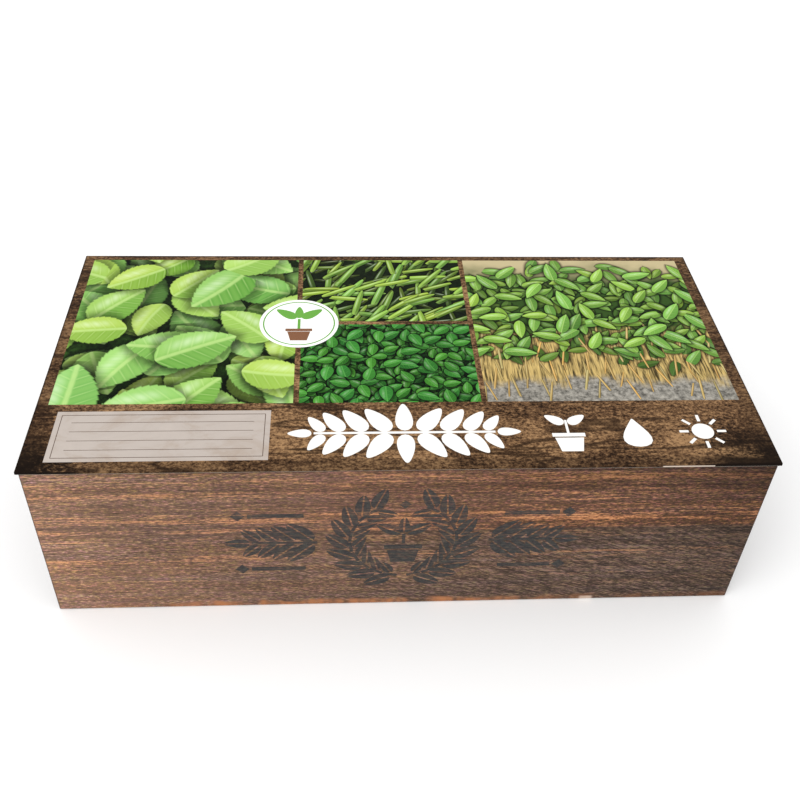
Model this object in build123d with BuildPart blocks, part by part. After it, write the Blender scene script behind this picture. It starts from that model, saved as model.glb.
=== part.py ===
"""Indoor herb planter: a wooden box under a card lid, with the growing kit that it holds.

Millimetres, +Z up. The origin is at the middle of the underside, +X runs to the right along the
front, and the front faces -Y.
"""

import os
from math import atan2, degrees

from build123d import *

# Wooden box
box_length = 340.0
box_depth = 168.0
wall_height = 97.0
board = 7.0
corner_lip = 3.0
base_thickness = 4.0
base_lip = 3.0
base_gap = 0.15
arris = 0.6

# Brads of flat wire with a narrow head, punched a little below the wood
brad_width = 1.2
brad_thickness = 1.0
brad_head_width = 2.0
brad_head = 0.6
brad_set = 0.3
brad_point = 1.5
brad_fit = 0.02
corner_brad_length = 18.0
corner_brad_count = 3
corner_brad_margin = 18.0
base_brad_length = 14.0
base_brads_long_side = 4
base_brads_short_side = 2
base_brad_margin = 34.0

# Seed tray, formed from one sheet
lift_gap = 1.5
tray_sheet = 1.0
tray_rim = 5.0
tray_lip = 4.0
tray_lean = 6.0
mouth_corner = 16.0
tray_floor_round = 4.0
tray_rib_count = 5
tray_rib_width = 7.0
tray_rib_height = 2.0
tray_rib_end_margin = 45.0
tray_rib_side_margin = 18.0

# Greenhouse cover, formed from clear sheet
cover_sheet = 0.8
cover_fit = 0.4
cover_height = 16.0
cover_lip = 5.0
cover_lean = 5.0
cover_round = 3.0
cover_groove_count = 3
cover_groove_width = 7.0
cover_groove_depth = 1.6
cover_groove_end_margin = 78.0
cover_groove_side_margin = 14.0

# Bag of growing medium, which lies on the tray's ribs
bag_end_room = 35.0
bag_side_room = 6.0
bag_height = 46.0
bag_shoulder = 38.0
bag_shoulder_swell = 9.0
bag_drawn_in = 4.0
bag_side = 3.0
bag_seal = 10.0
bag_seal_thickness = 1.0

# Seed kit, which lies on the cover in the room left under the lid
kit_room = 11.0
leaflet_end_margin = 12.0
leaflet_side_margin = 9.0
leaflet_paper = 0.4
leaflet_gap = 0.3
kit_margin = 2.5
herbs = ("basil", "chives", "parsley", "cress")
packet_gap = 5.0
packet_edge = 0.6
packet_belly = 2.4
packet_seal = 6.0
label_count = 4
label_length = 122.0
label_head = 17.0
label_head_length = 34.0
label_tip = 4.0
label_thickness = 0.8
label_round = 3.0
label_fan = 14.0

# Card lid
lid_overhang = 1.0
lid_board = 1.5
lid_corner = 1.0
tuck_card = 1.0
tuck_gap = 0.5
tuck_depth = 20.0
tuck_flange = 14.0
tuck_cutback = 12.0

# Places that follow from the sizes above
half_length = box_length / 2
half_depth = box_depth / 2
inner_length = box_length - 2 * board
inner_depth = box_depth - 2 * board
end_board_length = box_depth - 2 * corner_lip
base_length = box_length - 2 * base_lip
base_depth = box_depth - 2 * base_lip
corner_brad_y = (half_depth - corner_lip + inner_depth / 2) / 2
corner_brad_step = (wall_height - 2 * corner_brad_margin) / (corner_brad_count - 1)
shank_slot = (brad_width + 2 * brad_fit, brad_thickness + 2 * brad_fit)
head_slot = (brad_head_width + 2 * brad_fit, brad_thickness + 2 * brad_fit)
head_depth = brad_set + brad_head
base_brad_inset = (board - base_lip) / 2
base_brad_x = inner_length / 2 + base_brad_inset
base_brad_y = inner_depth / 2 + base_brad_inset
long_side_step = (inner_length - 2 * base_brad_margin) / (base_brads_long_side - 1)
short_side_step = (inner_depth - 2 * base_brad_margin) / (base_brads_short_side - 1)

cover_length = inner_length - 2 * lift_gap
cover_depth = inner_depth - 2 * lift_gap
rim_length = cover_length - 2 * (cover_sheet + cover_fit)
rim_depth = cover_depth - 2 * (cover_sheet + cover_fit)
mouth_length = rim_length - 2 * tray_rim
mouth_depth = rim_depth - 2 * tray_rim
floor_length = mouth_length - 2 * tray_lean
floor_depth = mouth_depth - 2 * tray_lean
top_length = mouth_length - 2 * cover_lean
top_depth = mouth_depth - 2 * cover_lean
cover_top_z = wall_height - kit_room
rim_z = cover_top_z - cover_height
tray_rib_pitch = (floor_length - 2 * tray_rib_end_margin) / (tray_rib_count - 1)
tray_rib_length = floor_depth - 2 * tray_rib_side_margin
cover_groove_pitch = (top_length - 2 * cover_groove_end_margin) / (cover_groove_count - 1)
cover_groove_length = top_depth - 2 * cover_groove_side_margin

bag_z = base_thickness + tray_sheet + tray_rib_height
bag_outer_length = floor_length - 2 * (tray_sheet + bag_end_room)
bag_length = bag_outer_length - 2 * bag_seal
bag_width = floor_depth - 2 * (tray_sheet + bag_side_room)

leaflet_length = top_length - 2 * leaflet_end_margin
leaflet_width = top_depth - 2 * leaflet_side_margin
leaflet_thickness = 2 * leaflet_paper + leaflet_gap
kit_z = cover_top_z + leaflet_thickness
packet_pitch = (leaflet_length - 2 * kit_margin + packet_gap) / len(herbs)
packet_width = packet_pitch - packet_gap
packet_height = leaflet_width - label_head - 3 * kit_margin
packet_y = leaflet_width / 2 - kit_margin - packet_height / 2
label_y = label_head / 2 + kit_margin - leaflet_width / 2
tuck_length = inner_length - 2 * tuck_gap
tuck_width = inner_depth - 2 * tuck_gap


def brad(length):
    """One brad that stands point up, with the outer face of its head at the origin."""
    with BuildPart() as made:
        with BuildSketch(Plane.XZ):
            with BuildLine():
                Polyline(
                    (-brad_head_width / 2, 0),
                    (brad_head_width / 2, 0),
                    (brad_head_width / 2, brad_head),
                    (brad_width / 2, brad_head),
                    (brad_width / 2, length - brad_point),
                    (0, length),
                    (-brad_width / 2, length - brad_point),
                    (-brad_width / 2, brad_head),
                    (-brad_head_width / 2, brad_head),
                    close=True,
                )
            make_face()
        extrude(amount=brad_thickness / 2, both=True)
    return made.part


def moulded_block(mouth, size, corner, height, lean, edge_round):
    """A block that narrows from its mouth, on the given plane, to a closed end with a rounded edge."""
    with BuildPart() as made:
        with BuildSketch(mouth):
            RectangleRounded(*size, corner)
        extrude(amount=height, taper=degrees(atan2(lean, height)))
        closed_end = made.faces().filter_by(Axis.Z).sort_by(SortBy.AREA)[0]
        fillet(closed_end.edges(), edge_round)
    return made.part


def shrunk(size, amount):
    """A length and depth, each less by the amount on both sides."""
    return size[0] - 2 * amount, size[1] - 2 * amount


os.makedirs("parts", exist_ok=True)

# Front and back boards, rabbeted for the end boards and the base
with BuildPart() as front_board:
    with BuildSketch(Plane.XY):
        with BuildLine():
            Polyline(
                (-half_length, -half_depth),
                (half_length, -half_depth),
                (half_length, corner_lip - half_depth),
                (inner_length / 2, corner_lip - half_depth),
                (inner_length / 2, board - half_depth),
                (-inner_length / 2, board - half_depth),
                (-inner_length / 2, corner_lip - half_depth),
                (-half_length, corner_lip - half_depth),
                close=True,
            )
        make_face()
    extrude(amount=wall_height)
    with BuildSketch(Plane.XY):
        Rectangle(base_length, base_depth)
    extrude(amount=base_thickness, mode=Mode.SUBTRACT)
    chamfer(front_board.faces().sort_by(Axis.Y)[0].edges(), arris)
    for side in (1, -1):
        shoulder = Plane(
            origin=(side * inner_length / 2, -corner_brad_y, wall_height / 2),
            x_dir=(0, 1, 0),
            z_dir=(side, 0, 0),
        )
        with BuildSketch(shoulder):
            with GridLocations(0, corner_brad_step, 1, corner_brad_count):
                Rectangle(*shank_slot)
        extrude(amount=board - brad_set - corner_brad_length, mode=Mode.SUBTRACT)
    ledge = Plane(origin=(0, -base_brad_y, base_thickness), x_dir=(1, 0, 0), z_dir=(0, 0, -1))
    with BuildSketch(ledge):
        with GridLocations(long_side_step, 0, base_brads_long_side, 1):
            Rectangle(*shank_slot)
    extrude(amount=base_thickness - brad_set - base_brad_length, mode=Mode.SUBTRACT)

with BuildPart() as back_board:
    mirror(front_board.part, about=Plane.XZ)

# End boards, which sit in the corner rabbets
with BuildPart() as right_end_board:
    with BuildSketch(Plane.XY):
        with Locations((half_length, 0)):
            Rectangle(board, end_board_length, align=(Align.MAX, Align.CENTER))
    extrude(amount=wall_height)
    with BuildSketch(Plane.XY):
        Rectangle(base_length, base_depth)
    extrude(amount=base_thickness, mode=Mode.SUBTRACT)
    chamfer(right_end_board.faces().sort_by(Axis.X)[-1].edges(), arris)
    outer_face = Plane(
        origin=(half_length, 0, wall_height / 2), x_dir=(0, 1, 0), z_dir=(1, 0, 0)
    )
    for slot, depth in ((shank_slot, board), (head_slot, head_depth)):
        with BuildSketch(outer_face):
            with GridLocations(2 * corner_brad_y, corner_brad_step, 2, corner_brad_count):
                Rectangle(*slot)
        extrude(amount=-depth, mode=Mode.SUBTRACT)
    ledge = Plane(origin=(base_brad_x, 0, base_thickness), x_dir=(1, 0, 0), z_dir=(0, 0, -1))
    with BuildSketch(ledge):
        with GridLocations(0, short_side_step, 1, base_brads_short_side):
            Rectangle(*shank_slot)
    extrude(amount=base_thickness - brad_set - base_brad_length, mode=Mode.SUBTRACT)

with BuildPart() as left_end_board:
    mirror(right_end_board.part, about=Plane.YZ)

# Base board, flush in the rabbet under the walls
underside = Plane(origin=(0, 0, 0), x_dir=(1, 0, 0), z_dir=(0, 0, -1))
with BuildPart() as base_board:
    with BuildSketch(Plane.XY):
        Rectangle(base_length - 2 * base_gap, base_depth - 2 * base_gap)
    extrude(amount=base_thickness)
    for slot, depth in ((shank_slot, base_thickness), (head_slot, head_depth)):
        with BuildSketch(underside):
            with GridLocations(long_side_step, 2 * base_brad_y, base_brads_long_side, 2):
                Rectangle(*slot)
            with GridLocations(2 * base_brad_x, short_side_step, 2, base_brads_short_side):
                Rectangle(*slot)
        extrude(amount=-depth, mode=Mode.SUBTRACT)

# Brads through the end boards into the front and back boards, and through the base into the walls
corner_brad = brad(corner_brad_length)
with BuildPart() as corner_brads:
    for side in (1, -1):
        heads = Plane(
            origin=(side * (half_length - brad_set), 0, wall_height / 2),
            x_dir=(0, 1, 0),
            z_dir=(-side, 0, 0),
        )
        with Locations(heads):
            with GridLocations(2 * corner_brad_y, corner_brad_step, 2, corner_brad_count):
                add(corner_brad)

base_brad = brad(base_brad_length)
with BuildPart() as base_brads:
    with Locations(Plane.XY.offset(brad_set)):
        with GridLocations(long_side_step, 2 * base_brad_y, base_brads_long_side, 2):
            add(base_brad)
        with GridLocations(2 * base_brad_x, short_side_step, 2, base_brads_short_side):
            add(base_brad)

# Seed tray: leaning walls, ribs pressed up into the floor, a flat rim and a turned-down lip
mouth_size = (mouth_length, mouth_depth)
tray_height = rim_z - base_thickness
tray_mouth = Plane(origin=(0, 0, rim_z), x_dir=(1, 0, 0), z_dir=(0, 0, -1))
tray_form = moulded_block(
    tray_mouth, mouth_size, mouth_corner, tray_height, tray_lean, tray_floor_round
)
with BuildPart() as tray_hollow:
    add(
        moulded_block(
            tray_mouth,
            shrunk(mouth_size, tray_sheet),
            mouth_corner - tray_sheet,
            tray_height - tray_sheet,
            tray_lean,
            tray_floor_round - tray_sheet,
        )
    )
    with BuildSketch(Plane.XY.offset(base_thickness + tray_sheet)):
        with GridLocations(tray_rib_pitch, 0, tray_rib_count, 1):
            Rectangle(tray_rib_width, tray_rib_length)
    extrude(amount=tray_rib_height, mode=Mode.SUBTRACT)

with BuildPart() as seed_tray:
    add(tray_form)
    with BuildSketch(Plane.XY.offset(rim_z - tray_lip)):
        RectangleRounded(rim_length, rim_depth, mouth_corner + tray_rim)
        RectangleRounded(
            *shrunk((rim_length, rim_depth), tray_sheet),
            mouth_corner + tray_rim - tray_sheet,
            mode=Mode.SUBTRACT,
        )
    extrude(amount=tray_lip)
    with BuildSketch(Plane.XY.offset(rim_z - tray_sheet)):
        RectangleRounded(rim_length, rim_depth, mouth_corner + tray_rim)
    extrude(amount=tray_sheet)
    add(tray_hollow.part, mode=Mode.SUBTRACT)
    with BuildSketch(Plane.XY.offset(base_thickness)):
        with GridLocations(tray_rib_pitch, 0, tray_rib_count, 1):
            Rectangle(*shrunk((tray_rib_width, tray_rib_length), tray_sheet))
    extrude(amount=tray_rib_height, mode=Mode.SUBTRACT)

# Greenhouse cover: a shallow dome with pressed grooves, a rim that rests on the tray and a lip outside it
cover_mouth = Plane.XY.offset(rim_z)
cover_form = moulded_block(
    cover_mouth, mouth_size, mouth_corner, cover_height, cover_lean, cover_round
)
with BuildPart() as cover_hollow:
    add(
        moulded_block(
            cover_mouth,
            shrunk(mouth_size, cover_sheet),
            mouth_corner - cover_sheet,
            cover_height - cover_sheet,
            cover_lean,
            cover_round - cover_sheet,
        )
    )
    with BuildSketch(Plane.XY.offset(cover_top_z - cover_sheet)):
        with GridLocations(cover_groove_pitch, 0, cover_groove_count, 1):
            Rectangle(cover_groove_width, cover_groove_length)
    extrude(amount=-cover_groove_depth, mode=Mode.SUBTRACT)

with BuildPart() as greenhouse_cover:
    add(cover_form)
    with BuildSketch(cover_mouth):
        RectangleRounded(cover_length, cover_depth, mouth_corner + tray_rim + cover_fit + cover_sheet)
    extrude(amount=cover_sheet)
    with BuildSketch(cover_mouth):
        RectangleRounded(cover_length, cover_depth, mouth_corner + tray_rim + cover_fit + cover_sheet)
        RectangleRounded(
            *shrunk((cover_length, cover_depth), cover_sheet),
            mouth_corner + tray_rim + cover_fit,
            mode=Mode.SUBTRACT,
        )
    extrude(amount=-cover_lip)
    add(cover_hollow.part, mode=Mode.SUBTRACT)
    with BuildSketch(Plane.XY.offset(cover_top_z)):
        with GridLocations(cover_groove_pitch, 0, cover_groove_count, 1):
            Rectangle(*shrunk((cover_groove_width, cover_groove_length), cover_sheet))
    extrude(amount=-cover_groove_depth, mode=Mode.SUBTRACT)

# Bag of growing medium: drawn in at its sides, crowned across, swelling from a flat seal at each end
with BuildPart() as growing_medium_bag:
    bag_half = bag_length / 2
    bag_top_z = bag_z + bag_height
    seal_z = bag_z + bag_seal_thickness
    with BuildSketch(Plane.XY.offset(bag_z)):
        with BuildLine():
            Polyline(
                (-bag_half, bag_width / 2),
                (-bag_outer_length / 2, bag_width / 2),
                (-bag_outer_length / 2, -bag_width / 2),
                (-bag_half, -bag_width / 2),
            )
            ThreePointArc(
                (-bag_half, -bag_width / 2), (0, bag_drawn_in - bag_width / 2), (bag_half, -bag_width / 2)
            )
            Polyline(
                (bag_half, -bag_width / 2),
                (bag_outer_length / 2, -bag_width / 2),
                (bag_outer_length / 2, bag_width / 2),
                (bag_half, bag_width / 2),
            )
            ThreePointArc(
                (bag_half, bag_width / 2), (0, bag_width / 2 - bag_drawn_in), (-bag_half, bag_width / 2)
            )
        make_face()
    extrude(amount=bag_height)
    with BuildSketch(Plane.YZ):
        with BuildLine():
            Polyline(
                (-bag_width / 2, bag_z + bag_side),
                (-bag_width / 2, bag_z),
                (bag_width / 2, bag_z),
                (bag_width / 2, bag_z + bag_side),
            )
            ThreePointArc(
                (bag_width / 2, bag_z + bag_side), (0, bag_top_z), (-bag_width / 2, bag_z + bag_side)
            )
        make_face()
    extrude(amount=bag_outer_length / 2, both=True, mode=Mode.INTERSECT)
    with BuildSketch(Plane.XZ):
        with BuildLine():
            Polyline(
                (bag_half, seal_z),
                (bag_outer_length / 2, seal_z),
                (bag_outer_length / 2, bag_z),
                (-bag_outer_length / 2, bag_z),
                (-bag_outer_length / 2, seal_z),
                (-bag_half, seal_z),
            )
            SagittaArc((-bag_half, seal_z), (bag_shoulder - bag_half, bag_top_z), bag_shoulder_swell)
            Line((bag_shoulder - bag_half, bag_top_z), (bag_half - bag_shoulder, bag_top_z))
            SagittaArc((bag_half - bag_shoulder, bag_top_z), (bag_half, seal_z), bag_shoulder_swell)
        make_face()
    extrude(amount=bag_width / 2, both=True, mode=Mode.INTERSECT)

# Instruction leaflet, folded along its back edge
with BuildPart() as instruction_leaflet:
    fold_outer = leaflet_thickness / 2
    fold_inner = leaflet_gap / 2
    fold_y = leaflet_width / 2 - fold_outer
    with BuildSketch(
        Plane(origin=(-leaflet_length / 2, 0, cover_top_z), x_dir=(0, 1, 0), z_dir=(1, 0, 0))
    ):
        with BuildLine():
            Line((-leaflet_width / 2, 0), (fold_y, 0))
            ThreePointArc(
                (fold_y, 0), (fold_y + fold_outer, fold_outer), (fold_y, leaflet_thickness)
            )
            Polyline(
                (fold_y, leaflet_thickness),
                (-leaflet_width / 2, leaflet_thickness),
                (-leaflet_width / 2, leaflet_paper + leaflet_gap),
                (fold_y, leaflet_paper + leaflet_gap),
            )
            ThreePointArc(
                (fold_y, leaflet_paper + leaflet_gap),
                (fold_y + fold_inner, fold_outer),
                (fold_y, leaflet_paper),
            )
            Polyline((fold_y, leaflet_paper), (-leaflet_width / 2, leaflet_paper), (-leaflet_width / 2, 0))
        make_face()
    extrude(amount=leaflet_length)

# Seed packets: flat envelopes with sealed ends and a belly of seeds, in a row on the leaflet
belly_end = packet_height / 2 - packet_seal
for number, herb in enumerate(herbs):
    packet_x = (number - (len(herbs) - 1) / 2) * packet_pitch
    with BuildPart() as seed_packet:
        for place, crown in ((-belly_end, packet_edge), (0, packet_belly), (belly_end, packet_edge)):
            with BuildSketch(Plane.XZ.offset(-packet_y - place)):
                with BuildLine():
                    sides = Polyline(
                        (packet_x - packet_width / 2, kit_z + packet_edge),
                        (packet_x - packet_width / 2, kit_z),
                        (packet_x + packet_width / 2, kit_z),
                        (packet_x + packet_width / 2, kit_z + packet_edge),
                    )
                    if crown > packet_edge:
                        ThreePointArc(sides @ 1, (packet_x, kit_z + crown), sides @ 0)
                    else:
                        Line(sides @ 1, sides @ 0)
                make_face()
        loft()
        with BuildSketch(Plane(origin=(packet_x, packet_y, kit_z))):
            with GridLocations(0, packet_height - packet_seal, 1, 2):
                Rectangle(packet_width, packet_seal)
        extrude(amount=packet_edge)
    seed_packet.part.label = herb + "_seed_packet"
    export_step(seed_packet.part, "parts/" + seed_packet.part.label + ".step")

# Plant labels: a wide head and a tapered stake, fanned out in one pile on the leaflet
neck_x = label_head_length - label_length / 2
for layer in range(label_count):
    label_x = (layer - (label_count - 1) / 2) * label_fan
    with BuildPart() as plant_label:
        with BuildSketch(Plane(origin=(label_x, label_y, kit_z + layer * label_thickness))):
            with BuildLine():
                Polyline(
                    (-label_length / 2, -label_head / 2),
                    (neck_x, -label_head / 2),
                    (label_length / 2, -label_tip / 2),
                    (label_length / 2, label_tip / 2),
                    (neck_x, label_head / 2),
                    (-label_length / 2, label_head / 2),
                    close=True,
                )
            label_face = make_face()
            fillet(label_face.vertices().group_by(Axis.X)[0], label_round)
        extrude(amount=label_thickness)
    plant_label.part.label = "plant_label_" + str(layer + 1)
    export_step(plant_label.part, "parts/" + plant_label.part.label + ".step")

# Lid: a flat board over the rim, and under it a folded frame whose four flaps tuck inside the walls
with BuildPart() as lid_card:
    with BuildSketch(Plane.XY.offset(wall_height)):
        RectangleRounded(box_length + 2 * lid_overhang, box_depth + 2 * lid_overhang, lid_corner)
    extrude(amount=lid_board)

with BuildPart() as lid_tuck_frame:
    with BuildSketch(Plane.XY.offset(wall_height)):
        Rectangle(tuck_length, tuck_width)
        Rectangle(*shrunk((tuck_length, tuck_width), tuck_flange), mode=Mode.SUBTRACT)
    extrude(amount=-tuck_card)
    for flap_face, flap_length in (
        (Plane.XZ.offset(tuck_width / 2), tuck_length),
        (Plane.YZ.offset(tuck_length / 2), tuck_width),
    ):
        with BuildSketch(flap_face):
            with BuildLine():
                Polyline(
                    (tuck_card - flap_length / 2, wall_height),
                    (flap_length / 2 - tuck_card, wall_height),
                    (flap_length / 2 - tuck_cutback, wall_height - tuck_depth),
                    (tuck_cutback - flap_length / 2, wall_height - tuck_depth),
                    close=True,
                )
            make_face()
        extrude(amount=-tuck_card)
    mirror(about=Plane.XZ)
    mirror(about=Plane.YZ)

for name, made in (
    ("front_board", front_board),
    ("back_board", back_board),
    ("left_end_board", left_end_board),
    ("right_end_board", right_end_board),
    ("base_board", base_board),
    ("corner_brads", corner_brads),
    ("base_brads", base_brads),
    ("seed_tray", seed_tray),
    ("growing_medium_bag", growing_medium_bag),
    ("greenhouse_cover", greenhouse_cover),
    ("instruction_leaflet", instruction_leaflet),
    ("lid_card", lid_card),
    ("lid_tuck_frame", lid_tuck_frame),
):
    made.part.label = name
    export_step(made.part, "parts/" + name + ".step")
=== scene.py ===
"""Looks of a boxed herb planter: stained boards, a printed lid, and the growing kit that lies inside.

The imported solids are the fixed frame. Every piece is in metres in that frame, on one of its bodies.
"""

import math
import random
from dataclasses import dataclass

import bmesh
import bpy
from mathutils import Matrix, Vector


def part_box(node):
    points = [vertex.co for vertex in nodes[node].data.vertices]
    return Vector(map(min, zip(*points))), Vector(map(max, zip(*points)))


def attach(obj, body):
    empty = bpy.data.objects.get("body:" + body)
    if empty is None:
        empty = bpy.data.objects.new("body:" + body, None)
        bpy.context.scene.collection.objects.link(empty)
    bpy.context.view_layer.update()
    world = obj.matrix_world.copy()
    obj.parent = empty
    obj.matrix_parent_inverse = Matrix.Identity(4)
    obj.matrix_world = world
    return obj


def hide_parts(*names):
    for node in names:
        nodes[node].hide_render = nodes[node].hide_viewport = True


bl_info = {
    "name": "Boxed herb planter",
    "version": (1, 0, 0),
    "blender": (4, 5, 0),
    "location": "3D View > Sidebar > Planter",
    "description": "Dresses the planter's solids in stained wood, printed card, paper, film and plastic",
    "category": "Object",
}

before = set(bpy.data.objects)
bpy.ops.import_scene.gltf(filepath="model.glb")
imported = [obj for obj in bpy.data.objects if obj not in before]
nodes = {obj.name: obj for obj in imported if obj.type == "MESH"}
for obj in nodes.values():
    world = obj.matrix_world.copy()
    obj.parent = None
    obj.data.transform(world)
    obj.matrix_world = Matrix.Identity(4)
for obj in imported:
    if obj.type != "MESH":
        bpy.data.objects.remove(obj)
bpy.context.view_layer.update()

MM = 0.001
ALONG_X = (0.0, 0.0, 0.0)
ALONG_Y = (0.0, 0.0, math.pi / 2)
UPRIGHT = Matrix.Rotation(math.pi / 2, 4, "X")
PLAIN = (1.0, 1.0, 1.0)
# Plates that overlap differ by hairs in height, so that no two faces lie in one plane.
PLATE_STEP = 0.0001 * MM
PLATE_CYCLE = 47
# Soft edge of a printed rectangle.
PRINT_EDGE = 0.05 * MM
# Printed leaves are lit from this side, and bend this much.
SUN = math.radians(-37.0)
LEAF_BOW = 1.2


def number(name, description, default, **more):
    return bpy.props.FloatProperty(name=name, description=description, default=default, **more)


def length(name, description, default):
    return number(name, description, default, subtype="DISTANCE", unit="LENGTH", min=0.0, precision=5)


def share(name, description, default):
    return number(name, description, default, subtype="FACTOR", min=0.0, max=1.0)


def angle(name, description, default):
    return number(name, description, math.radians(default), subtype="ANGLE", unit="ROTATION")


def colour(name, description, default):
    return bpy.props.FloatVectorProperty(
        name=name, description=description, subtype="COLOR", size=3, min=0.0, max=1.0, default=default
    )


class PlanterWood(bpy.types.PropertyGroup):
    """Stain and ink of the wooden box"""

    # Shade also colours the shadow painted below the seam and the painted shade at the box's ends.
    shade: colour("Shade", "Darkest streaks of the stain", (0.034, 0.019, 0.013))
    body: colour("Body", "Main tone of the stain", (0.108, 0.058, 0.036))
    warm: colour("Warm", "Lighter streaks", (0.235, 0.124, 0.072))
    pale: colour("Pale", "Thin pale fibres", (0.440, 0.265, 0.155))
    glow: colour("Glow", "Bright streaks and bare edges", (0.415, 0.172, 0.074))
    ash: colour("Ash", "Greyed lower part of the boards", (0.085, 0.060, 0.048))
    seam: length("Seam", "Height of the line between the upper and the lower plank", 56.0 * MM)
    ink: colour("Ink", "Charcoal of the stencil print", (0.033, 0.035, 0.036))
    ink_cover: share("Ink cover", "How much of the stencil has not worn off", 0.90)
    ink_depth: length("Ink depth", "Thickness of the stencil print", 0.03 * MM)
    base: colour("Base", "Unstained board of the base", (0.46, 0.31, 0.18))


class PlanterPrint(bpy.types.PropertyGroup):
    """Print of the lid"""

    ground: colour("Ground", "Main brown of the printed ground", (0.112, 0.058, 0.027))
    ground_dark: colour("Ground dark", "Dark grain of the printed ground", (0.016, 0.007, 0.003))
    ground_light: colour("Ground light", "Light patches of the printed ground", (0.345, 0.200, 0.095))
    white: colour("White", "White of the ornament", (0.86, 0.85, 0.82))
    plaque: colour("Plaque", "Pale plaque in the front strip", (0.44, 0.385, 0.345))
    rule: colour("Rule", "Thin lines on the plaque", (0.115, 0.078, 0.058))
    film: length("Film", "Thickness of one printed layer", 0.015 * MM)
    edge: length("Edge round", "Rounding of the lid's top edge", 0.25 * MM)


class PlanterKit(bpy.types.PropertyGroup):
    """Brads, tray, cover, bag and seed kit"""

    tray: colour("Tray", "Moulded tray", (0.60, 0.60, 0.575))
    cover: colour("Cover", "Clear cover", (0.93, 0.97, 0.95))
    peat: colour("Peat", "Growing medium seen through its film", (0.055, 0.030, 0.017))
    paper: colour("Paper", "Leaflet and packet paper", (0.78, 0.76, 0.70))
    label: colour("Label", "Plant labels", (0.82, 0.82, 0.78))
    card: colour("Card", "Grey card of the lid's tuck frame", (0.42, 0.39, 0.34))
    steel: colour("Steel", "Brads", (0.52, 0.50, 0.47))
    bag_pressure: number("Bag pressure", "Pressure that fills the bag in the simulation", 4.0, min=0.0)
    bag_fill: share("Bag fill", "From slack to tight", 0.8)


class PlanterStage(bpy.types.PropertyGroup):
    """Camera and light"""

    camera: bpy.props.FloatVectorProperty(
        name="Camera",
        description="Place of the camera",
        subtype="XYZ",
        unit="LENGTH",
        default=(-0.0315, -0.3919, 0.4096),
    )
    yaw: angle("Yaw", "Turn of the view to the right of straight back", 4.92)
    pitch: angle("Pitch", "Tilt of the view below level", 41.33)
    roll: angle("Roll", "Tilt of the view about its own axis", 2.84)
    lens: number("Lens", "Focal length in millimetres on a 36 mm sensor", 44.36, min=1.0)
    sky: number("Sky", "Strength of the even light", 1.05, min=0.0)
    key: number("Key", "Power of the soft box", 8.0, subtype="POWER", min=0.0)
    floor: colour("Floor", "Pale floor", (0.93, 0.93, 0.93))


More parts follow.
